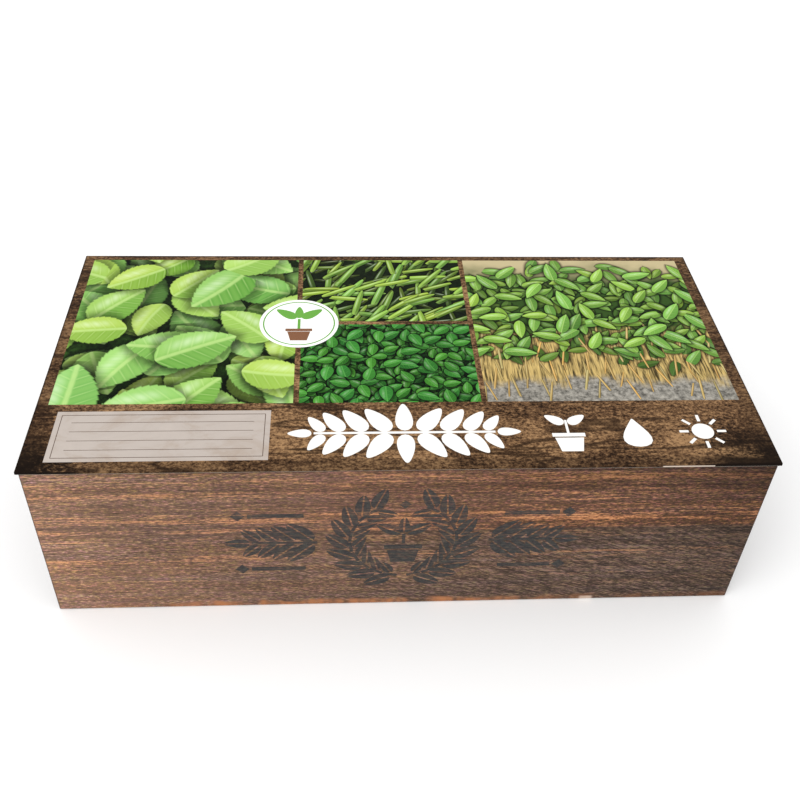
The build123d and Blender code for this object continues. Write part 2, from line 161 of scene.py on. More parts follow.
class Paint:
    """Adds and links the nodes of one material or node group."""

    def __init__(self, tree):
        self.tree = tree

    def feed(self, socket, value):
        if isinstance(value, bpy.types.NodeSocket):
            self.tree.links.new(value, socket)
        elif socket.type == "RGBA":
            socket.default_value = (*value[:3], 1.0)
        else:
            socket.default_value = value

    def feed_all(self, sockets, values):
        """Feeds sockets by number or name; underscores stand for the spaces in names."""
        for key, value in values.items():
            self.feed(sockets[key.replace("_", " ") if isinstance(key, str) else key], value)

    def add(self, kind, inputs, **settings):
        made = self.tree.nodes.new("ShaderNode" + kind)
        for name, value in settings.items():
            setattr(made, name, value)
        self.feed_all(made.inputs, inputs)
        return made

    def use(self, effect, **inputs):
        return self.add("Group", inputs, node_tree=effect.group()).outputs

    def math(self, operation, *values, clamp=False):
        return self.add("Math", dict(enumerate(values)), operation=operation, use_clamp=clamp).outputs[0]

    def times(self, product, *factors):
        for factor in factors:
            product = self.math("MULTIPLY", product, factor)
        return product

    def plus(self, total, *parts):
        """A total to which each part is added at its own weight."""
        for part, weight in parts:
            total = self.math("MULTIPLY_ADD", part, weight, total)
        return total

    def less(self, value, other=0.5):
        return self.math("SUBTRACT", value, other)

    def most(self, value, *others):
        for other in others:
            value = self.math("MAXIMUM", value, other)
        return value

    def size(self, value):
        return self.math("ABSOLUTE", value)

    def vector(self, operation, *values):
        return self.add("VectorMath", dict(enumerate(values)), operation=operation).outputs[0]

    def xyz(self, *parts):
        return self.add("CombineXYZ", dict(enumerate(parts))).outputs[0]

    def axes(self, vector):
        return self.add("SeparateXYZ", {"Vector": vector}).outputs

    def mix(self, factor, first, second, blend="MIX"):
        """Mixes colours, which are a Mix node's sockets 6 and 7 and its output 2."""
        inputs = {0: factor, 6: first, 7: second}
        return self.add("Mix", inputs, data_type="RGBA", blend_type=blend).outputs[2]

    def glaze(self, shade, tint):
        return self.mix(1.0, shade, tint, "MULTIPLY")

    def fade(self, value, low, high, start=0.0, end=1.0):
        limits = {"Value": value, "From Min": low, "From Max": high, "To Min": start, "To Max": end}
        return self.add("MapRange", limits, interpolation_type="SMOOTHSTEP").outputs[0]

    def ramp(self, value, *stops):
        made = self.add("ValToRGB", {"Fac": value})
        elements = made.color_ramp.elements
        elements[0].position, elements[1].position = stops[0][0], stops[-1][0]
        for place, _ in stops[1:-1]:
            elements.new(place)
        for element, (_, shade) in zip(elements, stops):
            element.color = (*shade[:3], 1.0)
        return made.outputs["Color"]

    def place(self, vector, shift=(0.0, 0.0, 0.0), turn=(0.0, 0.0, 0.0), stretch=PLAIN, kind="POINT"):
        inputs = {"Vector": vector, "Location": shift, "Rotation": turn, "Scale": stretch}
        return self.add("Mapping", inputs, vector_type=kind).outputs[0]

    def noise(self, vector, scale, detail=2.0, rough=0.5, warp=0.0, **placed):
        """Noise at a point, which is shifted or stretched first where that is asked for."""
        spot = self.place(vector, **placed) if placed else vector
        inputs = {"Vector": spot, "Scale": scale, "Detail": detail, "Roughness": rough, "Distortion": warp}
        return self.add("TexNoise", inputs).outputs[0]

    def bump(self, height, strength, distance):
        inputs = {"Height": height, "Strength": strength, "Distance": distance}
        return self.add("Bump", inputs).outputs[0]

    def inside(self, x, y, low, high, soft):
        """Mask of a rectangle with soft edges."""
        return self.times(
            self.fade(x, low[0] - soft, low[0] + soft),
            self.fade(x, high[0] + soft, high[0] - soft),
            self.fade(y, low[1] - soft, low[1] + soft),
            self.fade(y, high[1] + soft, high[1] - soft),
        )


class Finish(Paint):
    """A material with one Principled BSDF; here is a point in the frame's own metres."""

    def __init__(self, name):
        self.material = bpy.data.materials.new(name)
        self.material.use_nodes = True
        super().__init__(self.material.node_tree)
        self.here = self.add("TexCoord", {}).outputs["Object"]

    def surface(self, **sockets):
        self.feed_all(self.tree.nodes["Principled BSDF"].inputs, sockets)
        return self.material


class Effect:
    """A node group drawn by the function under it, the first time that a material uses it.

    An input is given as its default value, or as the name of its kind.
    """

    kinds = {"VALUE": "Float", "VECTOR": "Vector", "RGBA": "Color"}

    def __init__(self, title, **inputs):
        self.title = title
        self.inputs = inputs

    def __call__(self, draw):
        self.draw = draw
        return self

    def group(self):
        return bpy.data.node_groups.get(self.title) or self.build()

    def build(self):
        group = bpy.data.node_groups.new(self.title, "ShaderNodeTree")

        def socket(name, side, kind):
            return group.interface.new_socket(name, in_out=side, socket_type="NodeSocket" + kind)

        for name, value in self.inputs.items():
            spaced = name.replace("_", " ")
            if isinstance(value, str):
                socket(spaced, "INPUT", value)
            else:
                socket(spaced, "INPUT", "Float").default_value = value
        paint = Paint(group)
        drawn = self.draw(paint, group.nodes.new("NodeGroupInput").outputs)
        for name, value in drawn.items():
            socket(name, "OUTPUT", self.kinds[value.type])
        paint.feed_all(group.nodes.new("NodeGroupOutput").inputs, drawn)
        return group


@Effect("Wood grain", Vector="Vector", Band=90.0, Sway=0.008, Squeeze=0.045)
def wood_grain(paint, given):
    """Bands, streaks, fibres, pores and a rippled figure of a board whose grain runs along X."""
    band, squeeze = given["Band"], given["Squeeze"]
    drift = paint.noise(given["Vector"], 1.0, 2.0, stretch=(4.0, 11.0, 11.0))
    lift = paint.times(paint.less(drift), given["Sway"])
    bent = paint.vector("ADD", given["Vector"], paint.xyz(0.0, lift, lift))

    def drawn_out(by):
        return paint.vector("MULTIPLY", bent, paint.xyz(by, 1.0, 1.0))

    short = drawn_out(paint.times(squeeze, 1.7))
    slant = paint.place(bent, turn=(0.0, math.radians(22.0), 0.0), stretch=(9.0, 1.0, 1.0), kind="TEXTURE")
    return {
        "Bands": paint.noise(drawn_out(paint.times(squeeze, 0.35)), band, 3.0, 0.55),
        "Streaks": paint.noise(drawn_out(squeeze), paint.times(band, 4.5), 4.0, 0.68),
        "Fibres": paint.noise(short, 950.0, 3.0, 0.7),
        "Pores": paint.fade(paint.noise(short, 2600.0, 1.0, 0.5), 0.57, 0.70),
        "Ripple": paint.noise(slant, 1000.0, 2.0, 0.6, 0.6),
    }


@Effect("Paper fibre", Vector="Vector")
def paper_fibre(paint, given):
    """Faint cloud and felt of paper or card."""
    return {
        "Cloud": paint.noise(given["Vector"], 70.0, 4.0, 0.6),
        "Felt": paint.noise(given["Vector"], 900.0, 3.0, 0.7, 0.6),
    }


@Effect("Moulded skin", Vector="Vector")
def moulded_skin(paint, given):
    """Flow marks and fine grain of a moulded plastic."""
    return {
        "Flow": paint.noise(given["Vector"], 28.0, 3.0, 0.55, 0.8),
        "Grain": paint.noise(given["Vector"], 2400.0, 2.0, 0.5),
    }


@Effect(
    "Leaf scatter", Vector="Vector", Cell=0.03, Length=0.026, Width=0.016, Turn=0.0, Spread=math.tau,
    Base=0.55, Tip=0.85, Swell=2.56, Teeth=0.0, Notches=9.0, Scatter=0.5, Bow=0.0, Sun=0.0,
)
def leaf_scatter(paint, given):
    """Leaves strewn over a plane, one in each cell of a loose grid."""
    scale = paint.math("DIVIDE", 1.0, given["Cell"])
    inputs = {"Vector": given["Vector"], "Scale": scale, "Randomness": given["Scatter"]}
    cells = paint.add("TexVoronoi", inputs, voronoi_dimensions="2D").outputs
    chance = paint.add("SeparateColor", {"Color": cells["Color"]}).outputs
    swing = paint.plus(given["Turn"], (paint.less(chance[0]), given["Spread"]))
    offset = paint.vector("SUBTRACT", given["Vector"], cells["Position"])
    spun = paint.add("VectorRotate", {"Vector": offset, "Angle": swing}, rotation_type="Z_AXIS").outputs[0]
    local = paint.axes(spun)
    size = paint.plus(1.0, (chance[2], -0.28))
    along = paint.math("ADD", paint.math("DIVIDE", local[0], paint.times(given["Length"], size)), 0.5)
    across = paint.math("DIVIDE", paint.times(local[1], 2.0), paint.times(given["Width"], size))
    held = paint.math("ADD", along, 0.0, clamp=True)
    ahead = paint.less(1.0, held)
    bow = paint.times(paint.less(chance[1]), given["Bow"])
    across = paint.plus(across, (paint.less(paint.times(held, ahead), 0.125), bow))
    rise = paint.math("POWER", held, given["Base"])
    fall = paint.math("POWER", ahead, given["Tip"])
    outline = paint.times(rise, fall, given["Swell"])
    tooth = paint.math("FRACT", paint.times(held, given["Notches"]))
    bitten = paint.less(outline, paint.times(tooth, given["Teeth"]))
    beyond = paint.size(paint.less(along, held))
    reach = paint.math("ADD", paint.size(across), paint.times(beyond, 4.0))
    edge = paint.less(bitten, reach)
    return {
        "Leaf": paint.fade(edge, 0.0, 0.09),
        "Shade": paint.fade(edge, -0.7, 0.1),
        "Along": held,
        "Across": across,
        "Tone": chance[1],
        "Chance": chance[2],
        "Facing": paint.math("COSINE", paint.math("ADD", swing, given["Sun"])),
        "Centre": cells["Position"],
    }


@Effect(
    "Leaf paint", Along=0.5, Across=0.0, Tone=0.5, Chance=0.5, Facing=1.0, Light="Color", Dark="Color",
    Vein="Color", Veins=6.0, Vein_Weight=0.5, Shine=0.3,
)
def leaf_paint(paint, given):
    """Colour of one leaf: a lit half, a shaded half, veins and a soft shine."""
    along, weight = given["Along"], given["Vein Weight"]
    toward = paint.times(given["Across"], paint.math("SIGN", given["Facing"]))
    side = paint.less(paint.fade(toward, -0.22, 0.3), 0.4)
    lit = paint.plus(0.27, (paint.times(side, paint.size(given["Facing"])), 0.52), (given["Tone"], 0.42))
    lit = paint.math("MULTIPLY_ADD", along, 0.18, lit, clamp=True)
    shade = paint.mix(lit, given["Dark"], given["Light"])
    shade = paint.glaze(shade, paint.mix(given["Chance"], (0.72, 0.92, 1.0), (1.22, 1.0, 0.62)))
    out = paint.size(given["Across"])
    step = paint.less(along, paint.times(out, 0.2))
    comb = paint.math("PINGPONG", paint.times(step, given["Veins"]), 0.5)
    quilt = paint.times(paint.fade(comb, 0.05, 0.45), paint.times(weight, 0.55))
    shade = paint.mix(quilt, shade, paint.mix(0.5, shade, given["Light"]))
    lines = paint.times(paint.fade(comb, 0.14, 0.0), paint.fade(out, 1.0, 0.3, 0.1, 0.6))
    rib = paint.fade(out, 0.13, 0.03)
    shade = paint.mix(paint.times(paint.most(lines, rib), weight), shade, given["Vein"])
    crest = paint.fade(paint.size(paint.less(toward, 0.42)), 0.34, 0.0)
    middle = paint.fade(paint.size(paint.less(along)), 0.40, 0.05)
    broken = paint.times(paint.fade(comb, 0.0, 0.5, 0.55, 1.0), given["Shine"])
    return {"Color": paint.mix(paint.times(crest, middle, broken), shade, (0.92, 1.0, 0.80))}


def swell(base, tip):
    """Factor that gives a leaf outline of these powers a greatest half width of one."""
    top = base / (base + tip)
    return 1.0 / (top**base * (1.0 - top) ** tip)


@dataclass
class Leaves:
    """One layer of strewn leaves: how large, how turned and how coloured.

    A bed holds four depths: every leaf grows between the inner two, and none beyond the outer two.
    """

    cell: float
    slim: float
    light: tuple
    dark: tuple
    vein: tuple
    turn: float = 0.0
    spread: float = math.tau
    fill: float = 0.92
    base: float = 0.55
    tip: float = 0.85
    teeth: float = 0.0
    notches: float = 9.0
    veins: float = 7.0
    weight: float = 0.5
    shine: float = 0.3
    gloom: float = 0.75
    scatter: float = 0.5
    bed: tuple = None

    def lay(self, paint, under, seed):
        """Strews this layer over the colour under it."""
        dice = random.Random(seed)
        turned = dice.uniform(0.0, math.tau)
        shift = (dice.uniform(0.3, 3.0), dice.uniform(0.3, 3.0), 0.0)
        turn = (0.0, 0.0, turned)
        long = self.cell * self.fill
        strewn = paint.use(
            leaf_scatter,
            Vector=paint.place(paint.here, shift, turn),
            Cell=self.cell,
            Length=long,
            Width=long * self.slim,
            Turn=-turned - self.turn,
            Spread=self.spread,
            Base=self.base,
            Tip=self.tip,
            Swell=swell(self.base, self.tip),
            Teeth=self.teeth,
            Notches=self.notches,
            Scatter=self.scatter,
            Bow=LEAF_BOW,
            Sun=turned - SUN,
        )
        shade = paint.use(
            leaf_paint,
            **{name: strewn[name] for name in ("Along", "Across", "Tone", "Chance", "Facing")},
            Light=self.light,
            Dark=self.dark,
            Vein=self.vein,
            Veins=self.veins,
            Vein_Weight=self.weight,
            Shine=self.shine,
        )["Color"]
        gloom = paint.times(strewn["Shade"], self.gloom)
        leaf = strewn["Leaf"]
        if self.bed:
            thin, whole, last, end = self.bed
            root = paint.axes(paint.place(strewn["Centre"], shift, turn, kind="TEXTURE"))[1]
            odds = paint.times(paint.fade(root, thin, whole), paint.fade(root, end, last))
            grown = paint.math("LESS_THAN", strewn["Chance"], odds)
            gloom = paint.times(gloom, grown)
            leaf = paint.times(leaf, grown)
        sunk = paint.mix(gloom, under, (0.0, 0.0, 0.0))
        return paint.mix(leaf, sunk, shade)


def scaled(tint, factor):
    return tuple(min(1.0, part * factor) for part in tint)


def dimmer(tints, factor):
    return {name: scaled(tint, factor) for name, tint in tints.items()}


def layers(tints, look, key, *rows):
    """Layers of one herb from the lowest up, each with its cell, its brightness and one more setting."""
    return [Leaves(cell, **dimmer(tints, bright), **look, **{key: value}) for cell, bright, value in rows]


def make_piece(name, shape, material, body):
    """Turns a bmesh into a piece at the origin that rides on a body."""
    bmesh.ops.recalc_face_normals(shape, faces=shape.faces)
    mesh = bpy.data.meshes.new(name)
    shape.to_mesh(mesh)
    shape.free()
    mesh.materials.append(material)
    piece = bpy.data.objects.new(name, mesh)
    bpy.context.scene.collection.objects.link(piece)
    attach(piece, body)
    return piece


def dress(material, *names):
    """Gives CAD nodes a finished material."""
    for name in names:
        nodes[name].data.materials.clear()
        nodes[name].data.materials.append(material)


def at(x, y, turn=0.0):
    """Place of a flat shape, in millimetres and degrees."""
    return Matrix.Translation((x * MM, y * MM, 0.0)) @ Matrix.Rotation(math.radians(turn), 4, "Z")


class Cutouts:
    """Flat shapes of one thickness, given in millimetres and laid on one plane."""

    leaf_segments = 20
    split_segments = 24

    def __init__(self, depth, plane):
        self.shape = bmesh.new()
        self.depth = depth
        self.plane = plane

    def circle(self, radius, segments, cap=True):
        return bmesh.ops.create_circle(self.shape, cap_ends=cap, segments=segments, radius=radius)["verts"]

    def thicken(self, corners, place):
        """Extrudes the flat faces on these corners into a plate, and puts it in place."""
        faces = list({face for corner in corners for face in corner.link_faces})
        raised = bmesh.ops.extrude_face_region(self.shape, geom=faces)["geom"]
        raised = [item for item in raised if isinstance(item, bmesh.types.BMVert)]
        hair = PLATE_STEP * (len(self.shape.faces) % PLATE_CYCLE)
        bmesh.ops.translate(self.shape, verts=raised, vec=(0.0, 0.0, self.depth - hair))
        low = [corner for corner in corners if corner.is_valid]
        bmesh.ops.transform(self.shape, matrix=self.plane @ place, verts=list(set(low + raised)))

    def disc(self, radius, place, segments):
        self.thicken(self.circle(radius * MM, segments), place)

    def ring(self, inner, outer, place, segments):
        rims = [self.circle(radius * MM, segments, cap=False) for radius in (inner, outer)]
        corners = [corner for rim in rims for corner in rim]
        edges = {edge for corner in corners for edge in corner.link_edges}
        bmesh.ops.bridge_loops(self.shape, edges=list(edges))
        self.thicken(corners, place)

    def bar(self, wide, high, place, top=1.0):
        """A rectangle, or a trapezium whose upper side is top times as wide."""
        corners = bmesh.ops.create_grid(self.shape, x_segments=1, y_segments=1, size=0.5)["verts"]
        for corner in corners:
            narrow = top if corner.co.y > 0.0 else 1.0
            corner.co.x *= wide * MM * narrow
            corner.co.y *= high * MM
        self.thicken(corners, place)

    def leaf(self, long, wide, place, point=0.55):
        """A leaf that grows from its place along X, blunt at its foot and pointed at its tip."""
        corners = self.circle(1.0, self.leaf_segments)
        for corner in corners:
            along = (corner.co.x + 1.0) / 2.0
            corner.co.y *= wide * MM / 2.0 * (1.0 - point * along) * (1.0 + point / 2.0)
            corner.co.x = long * MM * along
        self.thicken(corners, place)

    def split_leaf(self, long, wide, gap, place):
        """A stencil leaf: two halves with a bridge along the midrib."""
        for side in (1.0, -1.0):
            corners = self.circle(1.0, self.split_segments)
            for corner in corners:
                along = (corner.co.x + 1.0) / 2.0
                half = side * corner.co.y * wide * MM / 2.0 * (1.25 - 0.6 * along)
                corner.co.y = side * max(half, gap * MM)
                corner.co.x = long * MM * along
            self.thicken(corners, place)


def stained_colour(paint, wood, turn):
    """Stained board: its colour, its grain's height, and the raw grain."""
    here = paint.here
    spot = paint.place(here, turn=turn)
    x, y, z = paint.axes(here)
    grain = paint.use(wood_grain, Vector=spot, Band=150.0, Sway=0.004, Squeeze=0.030)
    names = ("Fibres", "Bands", "Streaks", "Ripple")
    fine, bands, streaks, figure = (paint.less(grain[name]) for name in names)
    grit = paint.less(paint.noise(spot, 1500.0, 2.0, 0.7, stretch=(0.26, 1.0, 1.0)))
    cloud = paint.less(paint.noise(here, 9.0, 3.0, 0.55, stretch=(1.0, 1.0, 2.2)))

    # A wandering seam divides the board into an upper and a lower plank.
    wander = paint.noise(here, 18.0, 2.0, stretch=(1.0, 1.0, 0.0))
    seam = paint.plus(z, (paint.less(wander), -0.004))

    def by_seam(start, end):
        """Rises from one height to another, both in millimetres above the seam."""
        return paint.fade(seam, wood.seam + start * MM, wood.seam + end * MM)

    lower = by_seam(0.5, -1.5)
    ledge = paint.times(by_seam(17.0, 2.0), by_seam(0.0, 1.0))
    shadow = paint.times(by_seam(0.0, -0.6), by_seam(-4.0, 0.0))

    # The stain follows the grain, in uneven hues.
    striped = paint.plus(0.50, (lower, -0.30))
    ripple = paint.times(figure, paint.times(lower, paint.fade(x, -0.10, 0.02, 0.25, 1.0)))
    tone = paint.plus(0.30, (grain["Streaks"], 0.40), (fine, 0.85), (grit, 1.75))
    tone = paint.plus(tone, (bands, striped), (ripple, 1.25))
    stain = paint.ramp(tone, (0.30, wood.shade), (0.47, wood.body), (0.64, wood.warm), (0.80, wood.pale))
    hue = paint.noise(spot, 170.0, 4.0, 0.65, shift=(0.7, 0.3, 0.2), stretch=(0.05, 1.0, 1.0))
    stain = paint.glaze(stain, paint.ramp(hue, (0.36, (0.86, 0.97, 1.22)), (0.64, (1.10, 1.02, 0.80))))
    fleck = paint.noise(spot, 900.0, 3.0, 0.75, shift=(0.2, 0.9, 0.4), stretch=(0.4, 1.0, 1.0))
    fleck = paint.ramp(fleck, (0.36, (1.12, 0.88, 1.36)), (0.50, PLAIN), (0.64, (0.93, 1.12, 0.60)))
    stain = paint.glaze(stain, fleck)

    # The lower plank greys to the right, and the upper one is redder there.
    ashen = paint.times(lower, paint.fade(x, -0.13, 0.10, 0.0, 0.42))
    grey = paint.ramp(tone, (0.26, (0.56, 0.55, 0.54)), (0.50, PLAIN), (0.74, (1.60, 1.60, 1.60)))
    grey = paint.glaze(wood.ash, grey)
    stain = paint.mix(ashen, stain, grey)
    ruddy = paint.times(paint.fade(x, -0.11, -0.02), paint.less(1.0, lower))
    redder = paint.mix(0.16, paint.glaze(stain, (0.90, 0.75, 0.68)), (0.190, 0.100, 0.063))
    stain = paint.mix(ruddy, stain, redder)

    # Bright streaks, most of all just above the seam and in one place on the right.
    hearth = paint.inside(x, z, (0.050, 0.064), (0.120, 0.079), 0.014)
    blaze = paint.plus(grain["Bands"], (streaks, 0.75), (fine, 0.90), (grit, 0.45))
    blaze = paint.plus(blaze, (lower, -0.08), (cloud, 0.40), (ledge, 0.17), (ashen, -0.16))
    blaze = paint.plus(paint.math("ADD", blaze, paint.fade(z, 0.082, 0.093, 0.0, -0.15)), (hearth, 0.17))
    spark = paint.ramp(
        tone, (0.28, (0.34, 0.28, 0.26)), (0.50, (0.95, 0.92, 0.90)), (0.72, (1.55, 1.65, 1.60))
    )
    stain = paint.mix(paint.fade(blaze, 0.52, 0.78, 0.0, 0.8), stain, paint.glaze(wood.glow, spark))
    stain = paint.mix(paint.times(shadow, 0.55), stain, wood.shade)

    # Fresher to the left and duller to the right, with dark pores.
    paler = paint.fade(paint.plus(x, (cloud, 0.16)), 0.14, -0.17)
    dull = paint.mix(paint.plus(0.12, (lower, 0.32)), stain, grey)
    stain = paint.mix(paler, dull, paint.mix(0.20, stain, (0.48, 0.29, 0.205)))
    stain = paint.mix(paint.times(grain["Pores"], 0.6), stain, wood.shade)

    # Painted light and shade on the long walls: painted light at the left end, and painted shade under the
    # lid, in the lower plank up to the seam and at the right end; they are also lighter at the bottom left,
    # and where the bright streaks gather on the right.
    shade_under_lid = paint.times(paint.fade(z, 0.074, 0.087), paint.fade(x, -0.06, 0.14, 0.08, 0.36))
    painted_light_and_shade = paint.less(paint.fade(x, -0.120, -0.166, 0.0, 0.24), shade_under_lid)
    painted_light_and_shade = paint.less(painted_light_and_shade, paint.fade(x, 0.120, 0.168, 0.0, 0.26))
    painted_light_and_shade = paint.plus(painted_light_and_shade, (hearth, 0.22))
    # Painted shade in the lower plank, deepest just below the seam, and a lighter foot at the left.
    under = paint.times(lower, paint.fade(z, 0.032, 0.052), paint.fade(x, -0.150, -0.100, 0.0, 0.17))
    foot = paint.times(paint.fade(z, 0.032, 0.012), paint.fade(x, -0.045, -0.100, 0.0, 0.16))
    painted_light_and_shade = paint.math("ADD", paint.less(painted_light_and_shade, under), foot)
    long_wall = paint.fade(paint.size(y), 0.0740, 0.0800)
    stain = paint.glaze(stain, paint.plus(1.0, (painted_light_and_shade, long_wall)))
    return stain, paint.less(tone, grain["Pores"]), grain


def stained_wood(name, wood, turn):
    """Rough sawn board under a thin brown stain, bare along its lower edge."""
    paint = Finish(name)
    stain, height, grain = stained_colour(paint, wood, turn)
    x, y, z = paint.axes(paint.here)
    scuff = paint.noise(paint.here, 55.0, 3.0, 0.6, stretch=(1.0, 1.0, 0.2))
    low = paint.fade(paint.plus(z, (scuff, -0.0092)), 0.0006, -0.0018)
    patch = paint.noise(paint.here, 60.0, 3.0, 0.65, stretch=(1.0, 1.0, 0.0))
    middle = paint.fade(paint.size(paint.math("ADD", x, 0.02)), 0.12, 0.06, 0.25, 1.0)
    worn = paint.times(low, paint.times(paint.fade(patch, 0.38, 0.62), middle))
    stain = paint.mix(worn, stain, wood.glow)
    ragged = paint.plus(z, (scuff, -0.0024))
    nick = paint.inside(x, ragged, (0.0925, -0.01), (0.0990, 0.0012), 0.0009)
    nick = paint.times(nick, paint.fade(y, -0.075, -0.080, 0.0, 0.75))
    stain = paint.mix(nick, stain, (0.66, 0.50, 0.40))
    # Painted shade: the wood darkens beyond 169 mm from the middle, at both ends of the box.
    stain = paint.mix(paint.fade(paint.size(x), 0.1690, 0.1698, 0.0, 0.75), stain, wood.shade)
    rough = paint.fade(grain["Streaks"], 0.3, 0.7, 0.72, 0.52)
    normal = paint.bump(height, 0.35, 0.0004)
    return paint.surface(Base_Color=stain, Roughness=rough, Normal=normal, Specular_IOR_Level=0.08)


def stencil_ink(name, wood):
    """The same board under charcoal that has worn off the high grain."""
    paint = Finish(name)
    stain, height, grain = stained_colour(paint, wood, ALONG_X)
    rub = paint.noise(paint.here, 240.0, 4.0, 0.7, stretch=(0.4, 1.0, 1.0))
    wear = paint.plus(paint.times(rub, 0.5), (grain["Fibres"], 0.5))
    cover = paint.fade(wear, 0.66, 0.46, 0.55, wood.ink_cover)
    clot = paint.noise(paint.here, 700.0, 3.0, 0.8, stretch=(0.6, 1.0, 1.0))
    clot = paint.ramp(clot, (0.34, (0.62, 0.66, 0.80)), (0.50, PLAIN), (0.66, (1.50, 1.62, 1.42)))
    inked = paint.mix(cover, stain, paint.glaze(wood.ink, clot))
    normal = paint.bump(height, 0.35, 0.0004)
    return paint.surface(Base_Color=inked, Roughness=0.68, Normal=normal, Specular_IOR_Level=0.12)


class PLANTER_OT_stain_boards(bpy.types.Operator):
    """Stain the four walls of the box"""

    bl_idname = "planter.stain_boards"
    bl_label = "Stain the boards"

    def execute(self, context):
        wood = context.scene.planter_wood
        dress(stained_wood("stained_wood_long", wood, ALONG_X), "front_board", "back_board")
        dress(stained_wood("stained_wood_end", wood, ALONG_Y), "left_end_board", "right_end_board")
        return {"FINISHED"}


class PLANTER_OT_stencil_front(bpy.types.Operator):
    """Stencil a wreath round a potted sprout, and a sprig at both sides, on the front board"""

    bl_idname = "planter.stencil_front"
    bl_label = "Stencil the front"

    level = 48.0
    wreath_radius = 25.5
    wreath_start = 13.0
    wreath_steps = 9
    wreath_pitch = 17.0
    stem = 1.6
    bridge = 1.5

    def wreath(self, ink):
        """Two leafy branches that part at the foot and leave the top open."""
        chord = self.wreath_radius * math.radians(self.wreath_pitch) - 0.6
        for side in (1, -1):
            for step in range(self.wreath_steps):
                hub = at(0, self.level, -90.0 + side * (self.wreath_start + self.wreath_pitch * step))
                ink.bar(self.stem, chord, hub @ at(self.wreath_radius, 0))
                for reach, turn, long, wide in ((1, 52, 14.0, 7.4), (-1, 136, 9.5, 5.2)):
                    foot = at(self.wreath_radius + reach * self.bridge, 0, side * turn)
                    ink.split_leaf(long, wide, 0.4, hub @ foot)
        ink.disc(2.8, at(0, self.level + self.wreath_radius), segments=4)

    def potted_sprout(self, ink):
        """A pot with a rim, and a sprout of three leaves."""
        ink.bar(11.5, 9.0, at(0, self.level - 11), top=1.35)
        ink.bar(18.5, 2.8, at(0, self.level - 4.2))
        ink.bar(self.stem, 7.0, at(0, self.level + 1.6))
        for x, rise, turn, long in ((1.4, 5.8, 28, 13.0), (-1.4, 5.8, 152, 13.0), (0, 6.3, 90, 10.5)):
            ink.split_leaf(long, long * 0.52, 0.45, at(x, self.level + rise, turn))

    def sprigs(self, ink):
        """A level sprig at both sides, whose leaves get smaller towards its tip, between two bars."""
        for side in (1, -1):
            outward = 90 - side * 90
            ink.bar(31.0, self.stem, at(side * 56.5, self.level))
            for step in range(4):
                long = 17.0 - 1.8 * step
                for fork in (1, -1):
                    y = self.level + fork * self.bridge
                    foot = at(side * (43.0 + 8.4 * step), y, outward + side * fork * 44)
                    ink.split_leaf(long, long * 0.50, 0.45, foot)
            ink.split_leaf(12.0, 6.2, 0.4, at(side * 73.0, self.level, outward))
            for rise in (19.0, -19.0):
                ink.bar(26.0, 2.6, at(side * 60.0, self.level + rise))
                ink.disc(3.4, at(side * 77.5, self.level + rise), segments=4)

    def execute(self, context):
        wood = context.scene.planter_wood
        low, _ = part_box("front_board")
        ink = Cutouts(wood.ink_depth, Matrix.Translation((0.0, low.y, 0.0)) @ UPRIGHT)
        self.wreath(ink)
        self.potted_sprout(ink)
        self.sprigs(ink)
        make_piece("front_stencil", ink.shape, stencil_ink("stencil_ink", wood), "box")
        return {"FINISHED"}


class PLANTER_OT_plane_base(bpy.types.Operator):
    """Give the base board its pale planed wood, and the brads their steel"""

    bl_idname = "planter.plane_base"
    bl_label = "Base and brads"

    def planed_wood(self, tint):
        paint = Finish("base_wood")
        grain = paint.use(wood_grain, Vector=paint.here, Band=60.0, Sway=0.02)
        tone = paint.plus(grain["Streaks"], (grain["Fibres"], 0.3))
        dark = scaled(tint, 0.62)
        board = paint.ramp(tone, (0.45, dark), (0.64, tint), (0.85, scaled(tint, 1.25)))
        board = paint.mix(paint.times(grain["Pores"], 0.35), board, dark)
        rough = paint.fade(tone, 0.4, 0.9, 0.72, 0.55)
        normal = paint.bump(tone, 0.2, 0.0003)
        return paint.surface(Base_Color=board, Roughness=rough, Normal=normal, Specular_IOR_Level=0.35)

    def rusted_steel(self, tint):
        paint = Finish("brad_steel")
        scale = paint.noise(paint.here, 1400.0, 3.0, 0.6)
        rust = paint.fade(scale, 0.60, 0.74)
        return paint.surface(
            Base_Color=paint.mix(rust, tint, (0.16, 0.075, 0.04)),
            Metallic=paint.fade(rust, 0.0, 1.0, 1.0, 0.2),
            Roughness=paint.fade(scale, 0.3, 0.7, 0.28, 0.6),
        )

    def execute(self, context):
        dress(self.planed_wood(context.scene.planter_wood.base), "base_board")
        dress(self.rusted_steel(context.scene.planter_kit.steel), "corner_brads", "base_brads")
        return {"FINISHED"}


def moulded_plastic(name, tint, rough):
    """Opaque moulded sheet with faint flow marks."""
    paint = Finish(name)
    skin = paint.use(moulded_skin, Vector=paint.here)
    return paint.surface(
        Base_Color=paint.mix(paint.fade(skin["Flow"], 0.35, 0.7), scaled(tint, 0.90), tint),
        Roughness=paint.fade(skin["Flow"], 0.3, 0.7, rough, rough + 0.16),
        Normal=paint.bump(skin["Grain"], 0.10, 0.0001),
        Subsurface_Weight=0.06,
    )


class PLANTER_OT_mould_greenhouse(bpy.types.Operator):
    """Give the seed tray and the clear cover their plastics"""

    bl_idname = "planter.mould_greenhouse"
    bl_label = "Tray and cover"

    def clear_plastic(self, tint):
        paint = Finish("clear_plastic")
        flow = paint.use(moulded_skin, Vector=paint.here)["Flow"]
        return paint.surface(
            Base_Color=paint.mix(flow, tint, PLAIN),
            Roughness=paint.fade(flow, 0.35, 0.75, 0.03, 0.10),
            IOR=1.5,
            Transmission_Weight=1.0,
            Normal=paint.bump(flow, 0.12, 0.0006),
        )

    def execute(self, context):
        kit = context.scene.planter_kit
        dress(moulded_plastic("tray_plastic", kit.tray, 0.32), "seed_tray")
        dress(self.clear_plastic(kit.cover), "greenhouse_cover")
        return {"FINISHED"}


